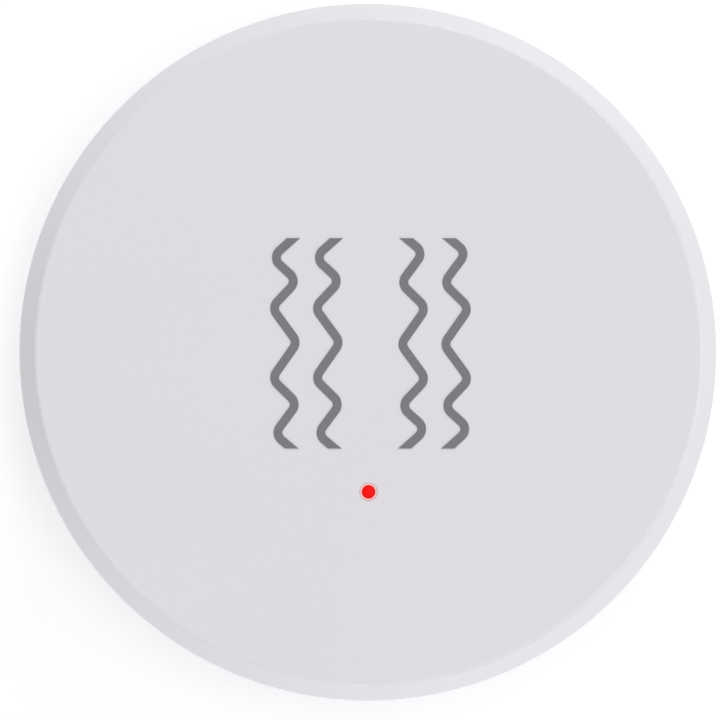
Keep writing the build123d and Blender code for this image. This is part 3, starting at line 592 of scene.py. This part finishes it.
# the painted shade in the sunken arrow ends at the first length of each row and is full at the second
arrow_bounds = [
    (reach, 19.97 * mm, 19.93 * mm),
    (shell.sums("ABSOLUTE", split["X"]), 0.95 * mm, 0.9 * mm),
    (split["Z"], 4.2 * mm, 4.1 * mm),
    (split["Z"], 2.27 * mm, 2.31 * mm),
    (split["Y"], -19.49 * mm, -19.5 * mm),
]
arrow_recess_shade = 1.0
for value, nought, one in arrow_bounds:
    arrow_recess_shade = shell.sums("MULTIPLY", arrow_recess_shade, shell.step(value, nought, one))
plain_color = shell.shader.inputs["Base Color"].links[0].from_socket
# the slanted edge is painted a little darker than the face: painted shade
bevel_painted_shade = shell.mix(slanted, plain_color, paint(223, 221, 225))
# the grey of the printed symbol, also painted into the sunken arrow as painted shade in its recess
ink_and_recess_shade_grey = paint(119, 118, 123)
shell.set(
    Base_Color=shell.mix(arrow_recess_shade, bevel_painted_shade, ink_and_recess_shade_grey),
    Coat_Weight=shell.sums("MULTIPLY", slanted, 0.9),
    Coat_Roughness=0.32,
    Specular_IOR_Level=0.3,
)
print("cover finish:", len(shell.tree.nodes), "nodes")

# %% [markdown]
# ## The printed ink
# The symbol is pad printed: a thin, dead matt grey film. Its surface is slightly orange-peeled and its
# density wavers a little, which shows most in a slanting light.

# %% Ink
ink = Finish("ink")
drifted = ink.use(drift, Color=ink_and_recess_shade_grey, Scale=900.0, Amount=0.03)
pebbly = ink.use(grain, Scale=11000.0)
thin = ink.step(pebbly["Mask"], 0.66, 0.72)
ink.set(
    Base_Color=ink.mix(ink.sums("MULTIPLY", thin, 0.25), drifted["Color"], paint(150, 149, 154)),
    Roughness=ink.sums("MULTIPLY_ADD", pebbly["Mask"], 0.15, 0.58),
)
ink.raise_by(pebbly["Height"], 0.004 * mm)
finishes["ink"] = ink
print("ink finish:", len(ink.tree.nodes), "nodes")

# %% [markdown]
# ## The status light
# A clear acrylic rod brings the light of a red lamp to the front. Its core glows, its edge, where the
# rod is frosted and meets the white plastic, is a pale pink ring. Both are painted light: the glow is
# emission in the rod's own material, and the pink of the ring is also painted into its colour. The
# glow is a function of the distance from the rod's own axis, and only its front end shows it.

# %% Finish of the light guide
guide_low, guide_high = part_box("light_guide")
light_x, light_y = (guide_low.x + guide_high.x) / 2, (guide_low.y + guide_high.y) / 2
core_red, core_edge_red, unlit_red = paint(242, 4, 1), paint(188, 9, 9), paint(60, 8, 6)
# pinks of the lit rod, painted into its colour as painted glow
frosted_glow_tint, outer_glow_tint = paint(230, 190, 188), paint(208, 190, 192)
frosted_glow, outer_glow = paint(172, 66, 62), paint(142, 100, 96)

light = Finish("light")
to_axis = {"Vector": light.place, "Location": (-light_x, -light_y, 0)}
centred = put(light.tree, "ShaderNodeMapping", to_axis).outputs[0]
away = from_axis(light.tree, parts_of(light.tree, centred))
core_end = light.step(away, 0.26 * mm, 0.36 * mm)
rim = light.step(away, 0.37 * mm, 0.412 * mm)
outer = light.step(away, 0.43 * mm, 0.47 * mm)
dim = light.sums("MULTIPLY", core_end, light.sums("SUBTRACT", 1.0, rim))
core = light.mix(dim, core_red, core_edge_red)
pebbly = light.use(grain, Scale=12000.0)
light.set(
    Base_Color=light.mix(outer, light.mix(rim, unlit_red, frosted_glow_tint), outer_glow_tint),
    Emission_Color=light.mix(outer, light.mix(rim, core, frosted_glow), outer_glow),
    Emission_Strength=1.0,
    Specular_IOR_Level=0.06,
    Roughness=light.sums("MULTIPLY_ADD", pebbly["Mask"], 0.12, 0.16),
)
light.raise_by(pebbly["Height"], 0.002 * mm)
finishes["light"] = light
print("light at", round(light_x / mm, 2), "and", round(light_y / mm, 2), "mm")

# %% [markdown]
# ## Soft parts
# The adhesive pad is a grey closed-cell foam between two glossy tacky films, the cushion under the
# coin cell is black open-cell foam, and the seal is satin silicone. Foam is drawn by its cells: pits
# that are painted darker than the walls between them, as painted shade.

# %% Foam tape
tape = Finish("adhesive")
film_full, film_end = 0.05 * mm, 0.09 * mm
pad_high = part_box("adhesive_pad")[1]
bubbly = tape.use(cells, Scale=9000.0)
quilt = tape.use(grain, Scale=1600.0)
tall = parts_of(tape.tree, tape.place)["Z"]
low_film = tape.step(tall, film_end, film_full)
high_film = tape.step(tall, pad_high.z - film_end, pad_high.z - film_full)
film = tape.sums("MAXIMUM", low_film, high_film)
# the foam is painted darker in its pits: painted shade
half_pit_shade = tape.sums("MULTIPLY", bubbly["Mask"], 0.5)
foam_with_pit_shade = tape.mix(half_pit_shade, paint(205, 205, 202), paint(150, 150, 148))
film_color = tape.mix(quilt["Mask"], paint(190, 190, 184), paint(206, 206, 200))
tape.set(
    Base_Color=tape.mix(film, foam_with_pit_shade, film_color),
    Roughness=tape.sums("MULTIPLY_ADD", film, -0.5, 0.85),
)
bare_foam = tape.sums("SUBTRACT", 1.0, film)
pits = tape.raise_by(tape.sums("MULTIPLY", bubbly["Height"], bare_foam), 0.05 * mm)
tape.raise_by(quilt["Height"], 0.03 * mm, pits)
finishes["adhesive"] = tape
print("tape finish:", len(tape.tree.nodes), "nodes")

# %% Foam cushion
foam = Finish("foam")
bubbly = foam.use(cells, Scale=4200.0)
# the pits are painted near black, darker than the walls: painted shade
foam.set(
    Base_Color=foam.mix(bubbly["Mask"], paint(84, 84, 88), paint(26, 26, 28)),
    Roughness=0.95,
    Sheen_Weight=0.25,
)
foam.raise_by(bubbly["Height"], 0.18 * mm)
finishes["foam"] = foam
print("foam finish:", len(foam.tree.nodes), "nodes")

# %% Silicone
seal = Finish("seal")
drifted = seal.use(drift, Color=paint(172, 174, 177), Amount=0.02)
pebbly = seal.use(grain, Scale=5000.0)
dusty = seal.use(wipes, Scale=500.0, Share=0.5)["Mask"]
seal.set(
    Base_Color=seal.mix(dusty, drifted["Color"], paint(196, 197, 198)),
    Roughness=seal.sums("MULTIPLY_ADD", pebbly["Mask"], 0.2, 0.38),
)
seal.raise_by(pebbly["Height"], 0.006 * mm)
finishes["seal"] = seal
print("silicone finish:", len(seal.tree.nodes), "nodes")

# %% [markdown]
# ## Metals
# Sheet metal keeps the lines of the rolls, turned and drawn parts have marks round their axis, and
# plating is never equally bright all over. The lines bump the surface and shift its gloss, fingers
# and tools leave fine scratches, and the plating tans a little in patches. The coin cell's can has a
# stamped plus sign and a groove round it, drawn as a bump.

# %% Metal
def metal(name, color, tan, pattern, scale, depth, roughness):
    """A plated metal with the lines or grain of a pattern, patches of tan and fine scratches."""
    finish = Finish(name)
    marks = finish.use(pattern, Scale=scale)
    scratched = finish.use(wipes, Scale=1400.0, Share=0.7)["Mask"]
    patch = finish.step(marks["Mask"], 0.42, 0.68)
    tan_share, marks_swing, scratch_dulling, scratch_share = 0.45, 0.16, 0.15, 0.5
    finish.set(
        Base_Color=finish.mix(finish.sums("MULTIPLY", patch, tan_share), color, tan),
        Metallic=1.0,
        Roughness=finish.sums(
            "ADD",
            finish.sums("MULTIPLY_ADD", marks["Height"], marks_swing, roughness - marks_swing / 2),
            finish.sums("MULTIPLY", scratched, scratch_dulling),
        ),
    )
    cut = finish.sums("MULTIPLY", scratched, scratch_share)
    finish.raise_by(finish.sums("SUBTRACT", marks["Height"], cut), depth)
    finishes[name] = finish


# name, colour, tanned colour, pattern, marks per metre, depth of the marks, roughness
metal("screw", paint(200, 200, 202), paint(182, 178, 170), grain, 9000.0, 0.004 * mm, 0.3)
metal("spring", paint(214, 211, 203), paint(196, 184, 160), rolled, 9000.0, 0.003 * mm, 0.26)
metal("tin", paint(214, 214, 211), paint(186, 186, 186), grain, 14000.0, 0.008 * mm, 0.36)
metal("crystal_lid", paint(220, 217, 209), paint(200, 192, 176), rolled, 9000.0, 0.002 * mm, 0.3)
metal("gold", paint(236, 203, 132), paint(218, 176, 100), grain, 14000.0, 0.003 * mm, 0.3)
print("finishes so far:", len(finishes))

# %% The can of the coin cell
can = Finish("cell_steel")
marks = can.use(rings, Scale=9000.0)
scratched = can.use(wipes, Scale=900.0, Share=0.8)["Mask"]
split = parts_of(can.tree, can.place)
across, along = (can.sums("ABSOLUTE", split[axis]) for axis in ("X", "Y"))
short, long = can.sums("MINIMUM", across, along), can.sums("MAXIMUM", across, along)
bar_side, bar_end = can.step(short, 0.42 * mm, 0.3 * mm), can.step(long, 2.2 * mm, 2.0 * mm)
reach = from_axis(can.tree, split)
groove_in, groove_out = can.step(reach, 8.4 * mm, 8.6 * mm), can.step(reach, 9.2 * mm, 9.0 * mm)
groove = can.sums("MULTIPLY", groove_in, groove_out)
plus_sign, shallow_groove = can.sums("MULTIPLY", bar_side, bar_end), can.sums("MULTIPLY", groove, 0.5)
stamped = can.sums("MAXIMUM", plus_sign, shallow_groove)
can_gloss = can.sums("MULTIPLY_ADD", marks["Height"], 0.16, 0.2)
can.set(
    Base_Color=can.mix(can.step(marks["Mask"], 0.4, 0.7), paint(206, 206, 208), paint(190, 188, 184)),
    Metallic=1.0,
    Roughness=can.sums("ADD", can_gloss, can.sums("MULTIPLY", scratched, 0.2)),
)
can.raise_by(stamped, -0.05 * mm, can.raise_by(marks["Height"], 0.003 * mm))
finishes["cell_steel"] = can
print("can finish:", len(can.tree.nodes), "nodes")

# %% [markdown]
# ## The circuit board and its parts
# A board is glass cloth in resin under a green lacquer. The cloth's weave shows faintly, the copper
# tracks raise the lacquer and lighten it, and small plated holes carry signals through; each hole is
# painted dark, as painted shade inside it. Fired ceramics are speckled, and a resistor has a glazed
# dark film.

# %% Board
board = Finish("board")
split = parts_of(board.tree, board.place)
weave_scale = 12000.0
warp, weft = (
    board.sums("SINE", board.sums("MULTIPLY", split[axis], weave_scale)) for axis in ("X", "Y")
)
weave = board.sums("MULTIPLY", warp, weft)
network = put(
    board.tree,
    "ShaderNodeTexBrick",
    {
        "Vector": board.place,
        "Color1": (0, 0, 0, 1),
        "Color2": (0, 0, 0, 1),
        "Mortar": (1, 1, 1, 1),
        "Scale": 1.0,
        "Mortar Size": 0.09 * mm,
        "Mortar Smooth": 0.1,
        "Brick Width": 3.1 * mm,
        "Row Height": 0.82 * mm,
    },
    offset=0.37,
    squash=0.6,
    squash_frequency=3,
)
regions = board.step(noise(board.tree, board.place, 260.0, 1.0), 0.47, 0.5)
tracks = board.sums("MULTIPLY", network.outputs["Color"], regions)
hole_pattern = {"Vector": board.place, "Scale": 420.0, "Randomness": 0.9}
from_hole = put(board.tree, "ShaderNodeTexVoronoi", hole_pattern).outputs["Distance"]
ring = board.sums("MULTIPLY", board.step(from_hole, 0.115, 0.105), board.step(from_hole, 0.05, 0.06))
# each hole is painted near-black green, as painted shade inside it
hole = board.step(from_hole, 0.055, 0.045)
copper = board.sums("MAXIMUM", tracks, ring)
lacquer = board.use(drift, Color=paint(22, 98, 58), Scale=200.0, Amount=0.05)["Color"]
with_copper = board.mix(board.sums("MULTIPLY", copper, 0.85), lacquer, paint(58, 138, 74))
board.set(
    Base_Color=board.mix(hole, with_copper, paint(14, 44, 28)),
    Roughness=board.sums("MULTIPLY_ADD", weave, 0.03, 0.34),
    Coat_Weight=0.3,
    Coat_Roughness=0.2,
)
board.raise_by(board.sums("SUBTRACT", copper, hole), 0.02 * mm, board.raise_by(weave, 0.002 * mm))
finishes["board"] = board
print("board finish:", len(board.tree.nodes), "nodes")

# %% Printed aerial
track = Finish("trace")
drifted = track.use(drift, Color=paint(120, 160, 92), Scale=400.0, Amount=0.05)
pebbly = track.use(grain, Scale=12000.0)
track.set(
    Base_Color=drifted["Color"],
    Roughness=track.sums("MULTIPLY_ADD", pebbly["Mask"], 0.1, 0.28),
    Coat_Weight=0.3,
)
track.raise_by(pebbly["Height"], 0.003 * mm)
finishes["trace"] = track
print("aerial finish:", len(track.tree.nodes), "nodes")


# %% Ceramics and cell core
def fired(name, color, speck, roughness):
    """A fired ceramic: speckled, slightly pitted, with a duller or glossier glaze."""
    finish = Finish(name)
    pebbly = finish.use(grain, Scale=16000.0)
    drifted = finish.use(drift, Color=color, Scale=700.0, Amount=0.04)
    specks = finish.step(pebbly["Mask"], 0.6, 0.68)
    finish.set(
        Base_Color=finish.mix(finish.sums("MULTIPLY", specks, 0.6), drifted["Color"], speck),
        Roughness=finish.sums("MULTIPLY_ADD", pebbly["Mask"], 0.15, roughness),
    )
    finish.raise_by(pebbly["Height"], 0.004 * mm)
    finishes[name] = finish


# name, colour, colour of the specks, roughness
fired("capacitor", paint(186, 160, 130), paint(150, 122, 94), 0.4)
fired("resistor", paint(56, 60, 76), paint(24, 26, 36), 0.16)
fired("crystal_case", paint(196, 184, 160), paint(160, 146, 120), 0.5)
fired("cell_core", paint(96, 96, 98), paint(60, 60, 62), 0.8)
print("finishes so far:", len(finishes))

# %% Lens of the status light
lens = Finish("lamp_lens")
cloudy = noise(lens.tree, lens.place, 3000.0, 2.0)
lens.set(
    Base_Color=lens.mix(lens.step(cloudy, 0.4, 0.7), paint(242, 240, 220), paint(230, 226, 196)),
    Roughness=lens.sums("MULTIPLY_ADD", cloudy, 0.1, 0.08),
    Transmission_Weight=0.6,
    IOR=1.5,
)
lens.raise_by(cloudy, 0.004 * mm)
finishes["lamp_lens"] = lens
print("finishes:", len(finishes))

# %% [markdown]
# ## The adhesive pad and the cushion
# Both are die-cut discs of foam. A knife leaves a tape's edge slightly hollow, because the foam
# is squeezed while it is cut and springs back. The cushion's upper edge is rolled over by the coin
# cell that presses on it.

# %% Adhesive pad
pad_radius, pad_top = pad_high.x, pad_high.z
hollow_depth, edge_drop = 0.08 * mm, 0.03 * mm
s = np.linspace(0, 1, 15)
side_r = pad_radius - edge_drop * np.abs(2 * s - 1) ** 8 - hollow_depth * np.sin(np.pi * s) ** 0.8
inner = np.linspace(0, 1, 12)[:-1] ** 0.7 * side_r[0]
side = np.stack([side_r, pad_top * s], axis=1)
pad_profile = np.concatenate([at_height(inner, 0.0), side, at_height(inner[::-1], pad_top)])
pad = surface("foam_tape", lathe(pad_profile, 192), around_columns=True)
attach(pad, "base")
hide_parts("adhesive_pad")
pad.data.materials.append(finishes["adhesive"].material)

# %% Cushion under the coin cell
cushion_low, cushion_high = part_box("cell_cushion")
cushion_radius = cushion_high.x
cushion_thickness = cushion_high.z - cushion_low.z
a = np.linspace(0, np.pi / 2, 28)
crown_r = cushion_radius * np.cos(a) ** 0.11
crown_z = cushion_low.z + cushion_thickness * np.sin(a) ** 0.62
crown = np.stack([crown_r, crown_z], axis=1)[:-1]
inner = np.linspace(0, cushion_radius, 10)[:-1]
cap_r = np.linspace(crown[-1, 0], 0, 12)[1:]
foot, cap = at_height(inner, cushion_low.z), at_height(cap_r, cushion_high.z)
cushion_profile = np.concatenate([foot, crown, cap])
cushion_grid = lathe(cushion_profile, 144)
x, y, z = np.moveaxis(cushion_grid, 2, 0)
dent = 0.015 * mm
uneven = np.sin(x * 2100 + 1.3 * np.sin(y * 1700)) * np.sin(y * 2300 + x * 900)
lift = (z - cushion_low.z) / cushion_thickness
cushion_grid[..., 2] -= dent * lift * (1 + uneven)
cushion = surface("foam_cushion", cushion_grid, around_columns=True)
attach(cushion, "base")
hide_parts("cell_cushion")
cushion.data.materials.append(finishes["foam"].material)

# %% [markdown]
# ## The sealing ring
# A moulded ring has no sharp corners. Its section is a squared oval, whose corners get rounder as the
# powers of the cosine and the sine get larger, carried once round the tag.

# %% Sealing ring
seal_low, seal_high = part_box("sealing_ring")
seal_width, seal_height = 0.6 * mm, seal_high.z - seal_low.z
section_x, section_y = oval(28, 0.45, 0.45)
section_r = seal_high.x - seal_width / 2 + section_x * seal_width / 2
section_z = seal_low.z + seal_height / 2 + section_y * seal_height / 2
section = np.stack([section_r, section_z], axis=1)
ring_piece = surface("silicone_seal", lathe(section, 256), around_rows=True, around_columns=True)
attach(ring_piece, "seal")
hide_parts("sealing_ring")
ring_piece.data.materials.append(finishes["seal"].material)

# %% [markdown]
# ## The screws
# Three plated screws with a cross recess and a real thread. One profile runs from the middle of the
# head, over its rim and down the shank to the tip. The recess lowers the head where a point lies in
# one of two crossed bars, and the thread raises the shank where the height, in pitches, minus the
# angle, in turns, is near a whole number, which is what makes a helix.

# %% Measures of a screw, and its profile
service_radius = 13.075 * mm
head_radius, head_height, shank_radius = 1.4 * mm, 0.85 * mm, 0.8 * mm
pitch, thread_depth, recess_depth = 0.4 * mm, 0.15 * mm, 0.5 * mm

screw_low, screw_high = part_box("tray_screws")
head_low, head_top, tip = screw_low.z, screw_low.z + head_height, screw_high.z
head_side = rounded(
    [
        (1.16 * mm, head_low),
        (head_radius, head_low + 0.02 * mm),
        (head_radius, head_top),
        (shank_radius, head_top),
    ],
    np.array([0, 0.2, 0.06, 0]) * mm,
    steps=6,
)
face_r = np.linspace(0, 1.12 * mm, 30)
shank_z = np.arange(head_top + 0.04 * mm, tip - 0.28 * mm, pitch / 8)
shank = np.stack([np.full_like(shank_z, shank_radius), shank_z], axis=1)
point = np.array([(0.72, -0.2), (0.55, -0.03), (0.5, 0), (0.25, 0), (0, 0)]) * mm + [0, tip]
screw_profile = np.concatenate([at_height(face_r, head_low), head_side, shank, point])

print("screw profile:", len(screw_profile), "points")


# %% Recess, thread and the three screws
def smooth(value, low, high):
    """3t^2 - 2t^3 with t running from 0 at low to 1 at high."""
    t = np.clip((value - low) / (high - low), 0, 1)
    return t * t * (3 - 2 * t)


first = lathe(screw_profile, 96)
x, y, z = np.moveaxis(first, 2, 0)
narrow, wide = np.minimum(np.abs(x), np.abs(y)), np.maximum(np.abs(x), np.abs(y))
on_face = (np.arange(len(screw_profile)) < len(face_r))[:, None]
recess = smooth(narrow, 0.24 * mm, 0.16 * mm) * smooth(wide, 0.82 * mm, 0.52 * mm)
turns = np.arctan2(y, x) / (2 * np.pi)
phase = (z / pitch - turns) % 1
ridge = smooth(np.abs(2 * phase - 1), 0.2, 0.85)
thread_start = smooth(z, head_top + 0.1 * mm, head_top + 0.4 * mm)
thread_end = smooth(z, tip - 0.1 * mm, tip - 0.6 * mm)
groove = thread_depth / shank_radius * (1 - ridge) * thread_start * thread_end
on_shank = (z > head_top + 0.03 * mm) & (z < tip - 0.21 * mm)
shrink = np.where(on_shank, 1 - groove, 1.0)
first = np.stack([x * shrink, y * shrink, z + np.where(on_face, recess_depth * recess, 0)], axis=-1)
for number, angle in enumerate(np.radians([30.0, 150.0, 270.0]), 1):
    spin = angle * 1.7
    c, s = np.cos(spin), np.sin(spin)
    place = [service_radius * np.cos(angle), service_radius * np.sin(angle), 0]
    turned_grid = first @ np.array([[c, s, 0], [-s, c, 0], [0, 0, 1]]) + place
    screw = surface(f"screw_{number}", turned_grid, around_columns=True)
    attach(screw, "housing")
    if number == 1:
        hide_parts("tray_screws")
    screw.data.materials.append(finishes["screw"].material)

# %% [markdown]
# ## The contact springs
# A contact is a strip of spring bronze whose bends are arcs, not corners. A rounded rectangular
# section is carried along the strip's middle line, narrowing towards the free ends, and a dimple
# stands out where the negative spring touches the coin cell.

# %% Strips with bends
def strip(name, path, width, thickness, end_width, bend, dimples=()):
    """Point = m(s) + n(s) a(u) + y b(u) w(s): middle line m, its normal n, section (a, b), width w.
    Each dimple adds -h exp(-((x - x0)^2 + y^2) / q^2) to the height."""
    bends = np.concatenate([[0], np.full(len(path) - 2, bend), [0]])
    middle = rounded(path, bends, steps=7)
    along = np.concatenate([[0], np.cumsum(np.linalg.norm(np.diff(middle, axis=0), axis=1))])
    even = np.linspace(0, along[-1], 120)
    line = np.stack([np.interp(even, along, middle[:, k]) for k in (0, 1)], axis=1)
    tangent = np.gradient(line, axis=0)
    tangent /= np.linalg.norm(tangent, axis=1, keepdims=True)
    normal = np.stack([-tangent[:, 1], tangent[:, 0]], axis=1)
    share = even / along[-1]
    taper = end_width[0] + (1 - end_width[0]) * smooth(share, 0.0, 0.3)
    taper = np.minimum(taper, end_width[1] + (1 - end_width[1]) * smooth(1 - share, 0.0, 0.3))
    b, a = oval(48, 0.12, 0.5)
    a = a * thickness / 2
    x = line[:, 0, None] + normal[:, 0, None] * a
    z = line[:, 1, None] + normal[:, 1, None] * a
    y = taper[:, None] * width / 2 * b
    for x0, height, reach in dimples:
        z = z - height * np.exp(-(((x - x0) ** 2 + y**2) / reach**2))
    body = np.stack([x, y, z], axis=-1)
    ends = [np.repeat(body[k].mean(axis=0)[None, None, :], body.shape[1], axis=1) for k in (0, -1)]
    return surface(name, np.concatenate([ends[0], body, ends[1]]), around_columns=True)


print("one section:", len(oval(48, 0.12, 0.5)[0]), "points")

# %% Negative spring, over the middle of the coin cell
spring_sheet = 0.148 * mm
board_side = 6.025 * mm
tip_x, touch_x, land_x = 7.0 * mm, 6.0 * mm, 3.0 * mm
tip_z, touch_z = 5.91 * mm, 5.795 * mm
dimple_height, dimple_reach = 0.012 * mm, 0.4 * mm
left_half = [(-tip_x, tip_z), (-touch_x, touch_z), (-land_x, board_side)]
negative = strip(
    "negative_spring",
    np.array(left_half + [(-x, z) for x, z in reversed(left_half)]),
    2.6 * mm,
    spring_sheet,
    (0.55, 0.55),
    0.5 * mm,
    [(place, dimple_height, dimple_reach) for place in (-touch_x, touch_x)],
)
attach(negative, "housing")
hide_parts("negative_contact")
negative.data.materials.append(finishes["spring"].material)

# %% Positive spring, against the side of the coin cell
foot_x, bend_x, side_x, hook_x = -12.63 * mm, -10.66 * mm, -10.1 * mm, -10.19 * mm
side_z, hook_z = 4.15 * mm, 3.66 * mm
positive = strip(
    "positive_spring",
    np.array([(foot_x, board_side), (bend_x, board_side), (side_x, side_z), (hook_x, hook_z)]),
    3.58 * mm,
    spring_sheet,
    (1.0, 0.7),
    0.3 * mm,
)
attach(positive, "housing")
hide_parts("positive_contact")
positive.data.materials.append(finishes["spring"].material)

# %% [markdown]
# ## The snap dome of the reset switch
# A dish of spring steel that gives way with a click. It is shallow in the middle and steeper near its
# rim, which stays on the switch while the plunger presses the middle in, so the real dome flattens
# towards its rim as the plunger moves. This piece keeps its resting shape.

# %% Snap dome
dome_low, dome_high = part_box("reset_switch_dome")
dome_middle = ((dome_low.x + dome_high.x) / 2, (dome_low.y + dome_high.y) / 2)
dome_radius, dome_sheet = (dome_high.x - dome_low.x) / 2, 0.08 * mm
foot_width = 1.5 * dome_sheet
s = np.linspace(0, 1, 24)
outer_z, inner_z = (low + (dome_high.z - low) * s**2.2 for low in (dome_low.z, dome_low.z + dome_sheet))
outside = np.stack([dome_radius * s, outer_z], axis=1)
inside = np.stack([(dome_radius - foot_width) * s, inner_z], axis=1)
dome_profile = np.concatenate([outside, inside[::-1]])
dome = surface("snap_dome", lathe(dome_profile, 72, dome_middle), around_columns=True)
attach(dome, "housing")
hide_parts("reset_switch_dome")
dome.data.materials.append(finishes["spring"].material)
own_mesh(dome)

# %% [markdown]
# ## The light guide
# A turned acrylic part: a stem over the lamp, a flange against the inside of the front, and the tip
# that fills the hole, with a broken edge and a faintly domed end that catches the light.

# %% Shape of the light guide
stem_radius, flange_radius, rod_radius = 0.8 * mm, 1.1 * mm, 0.5 * mm
flange_low, flange_high = 8.15 * mm, 8.5 * mm
broken_edge, end_dome = 0.03 * mm, 0.015 * mm
end_r = np.linspace(rod_radius - broken_edge, 0, 14)
end_z = guide_high.z - end_dome * (end_r / end_r[0]) ** 2
corners = [
    (stem_radius / 2, guide_low.z),
    (stem_radius, guide_low.z),
    (stem_radius, flange_low),
    (flange_radius, flange_low),
    (flange_radius, flange_high),
    (rod_radius, flange_high),
    (rod_radius, guide_high.z - broken_edge),
    (end_r[0], end_z[0]),
]
corner_radii = np.array([0, 0.05, 0.08, 0.06, 0.04, 0.04, 0.02, 0]) * mm
stem_face = [(0, guide_low.z), (stem_radius / 2, guide_low.z)]
end_face = np.stack([end_r, end_z], axis=1)
guide_profile = np.concatenate([stem_face, rounded(corners, corner_radii)[1:-1], end_face])
guide = surface("light_rod", lathe(guide_profile, 72, (light_x, light_y)), around_columns=True)
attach(guide, "housing")
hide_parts("light_guide")
guide.data.materials.append(finishes["light"].material)

# %% [markdown]
# ## Dressing the rigid parts
# The remaining solids already have their real shapes, with the radii, ribs, lugs and marks of the
# moulded parts, so they stay as they are and only take the finish that their slot names.

# %% Finishes on the rigid parts
for solid in nodes.values():
    slot = solid.data.materials[0].name.split(".")[0]
    solid.material_slots[0].link = "OBJECT"
    solid.material_slots[0].material = finishes[slot].material
print("solids dressed:", len(nodes))
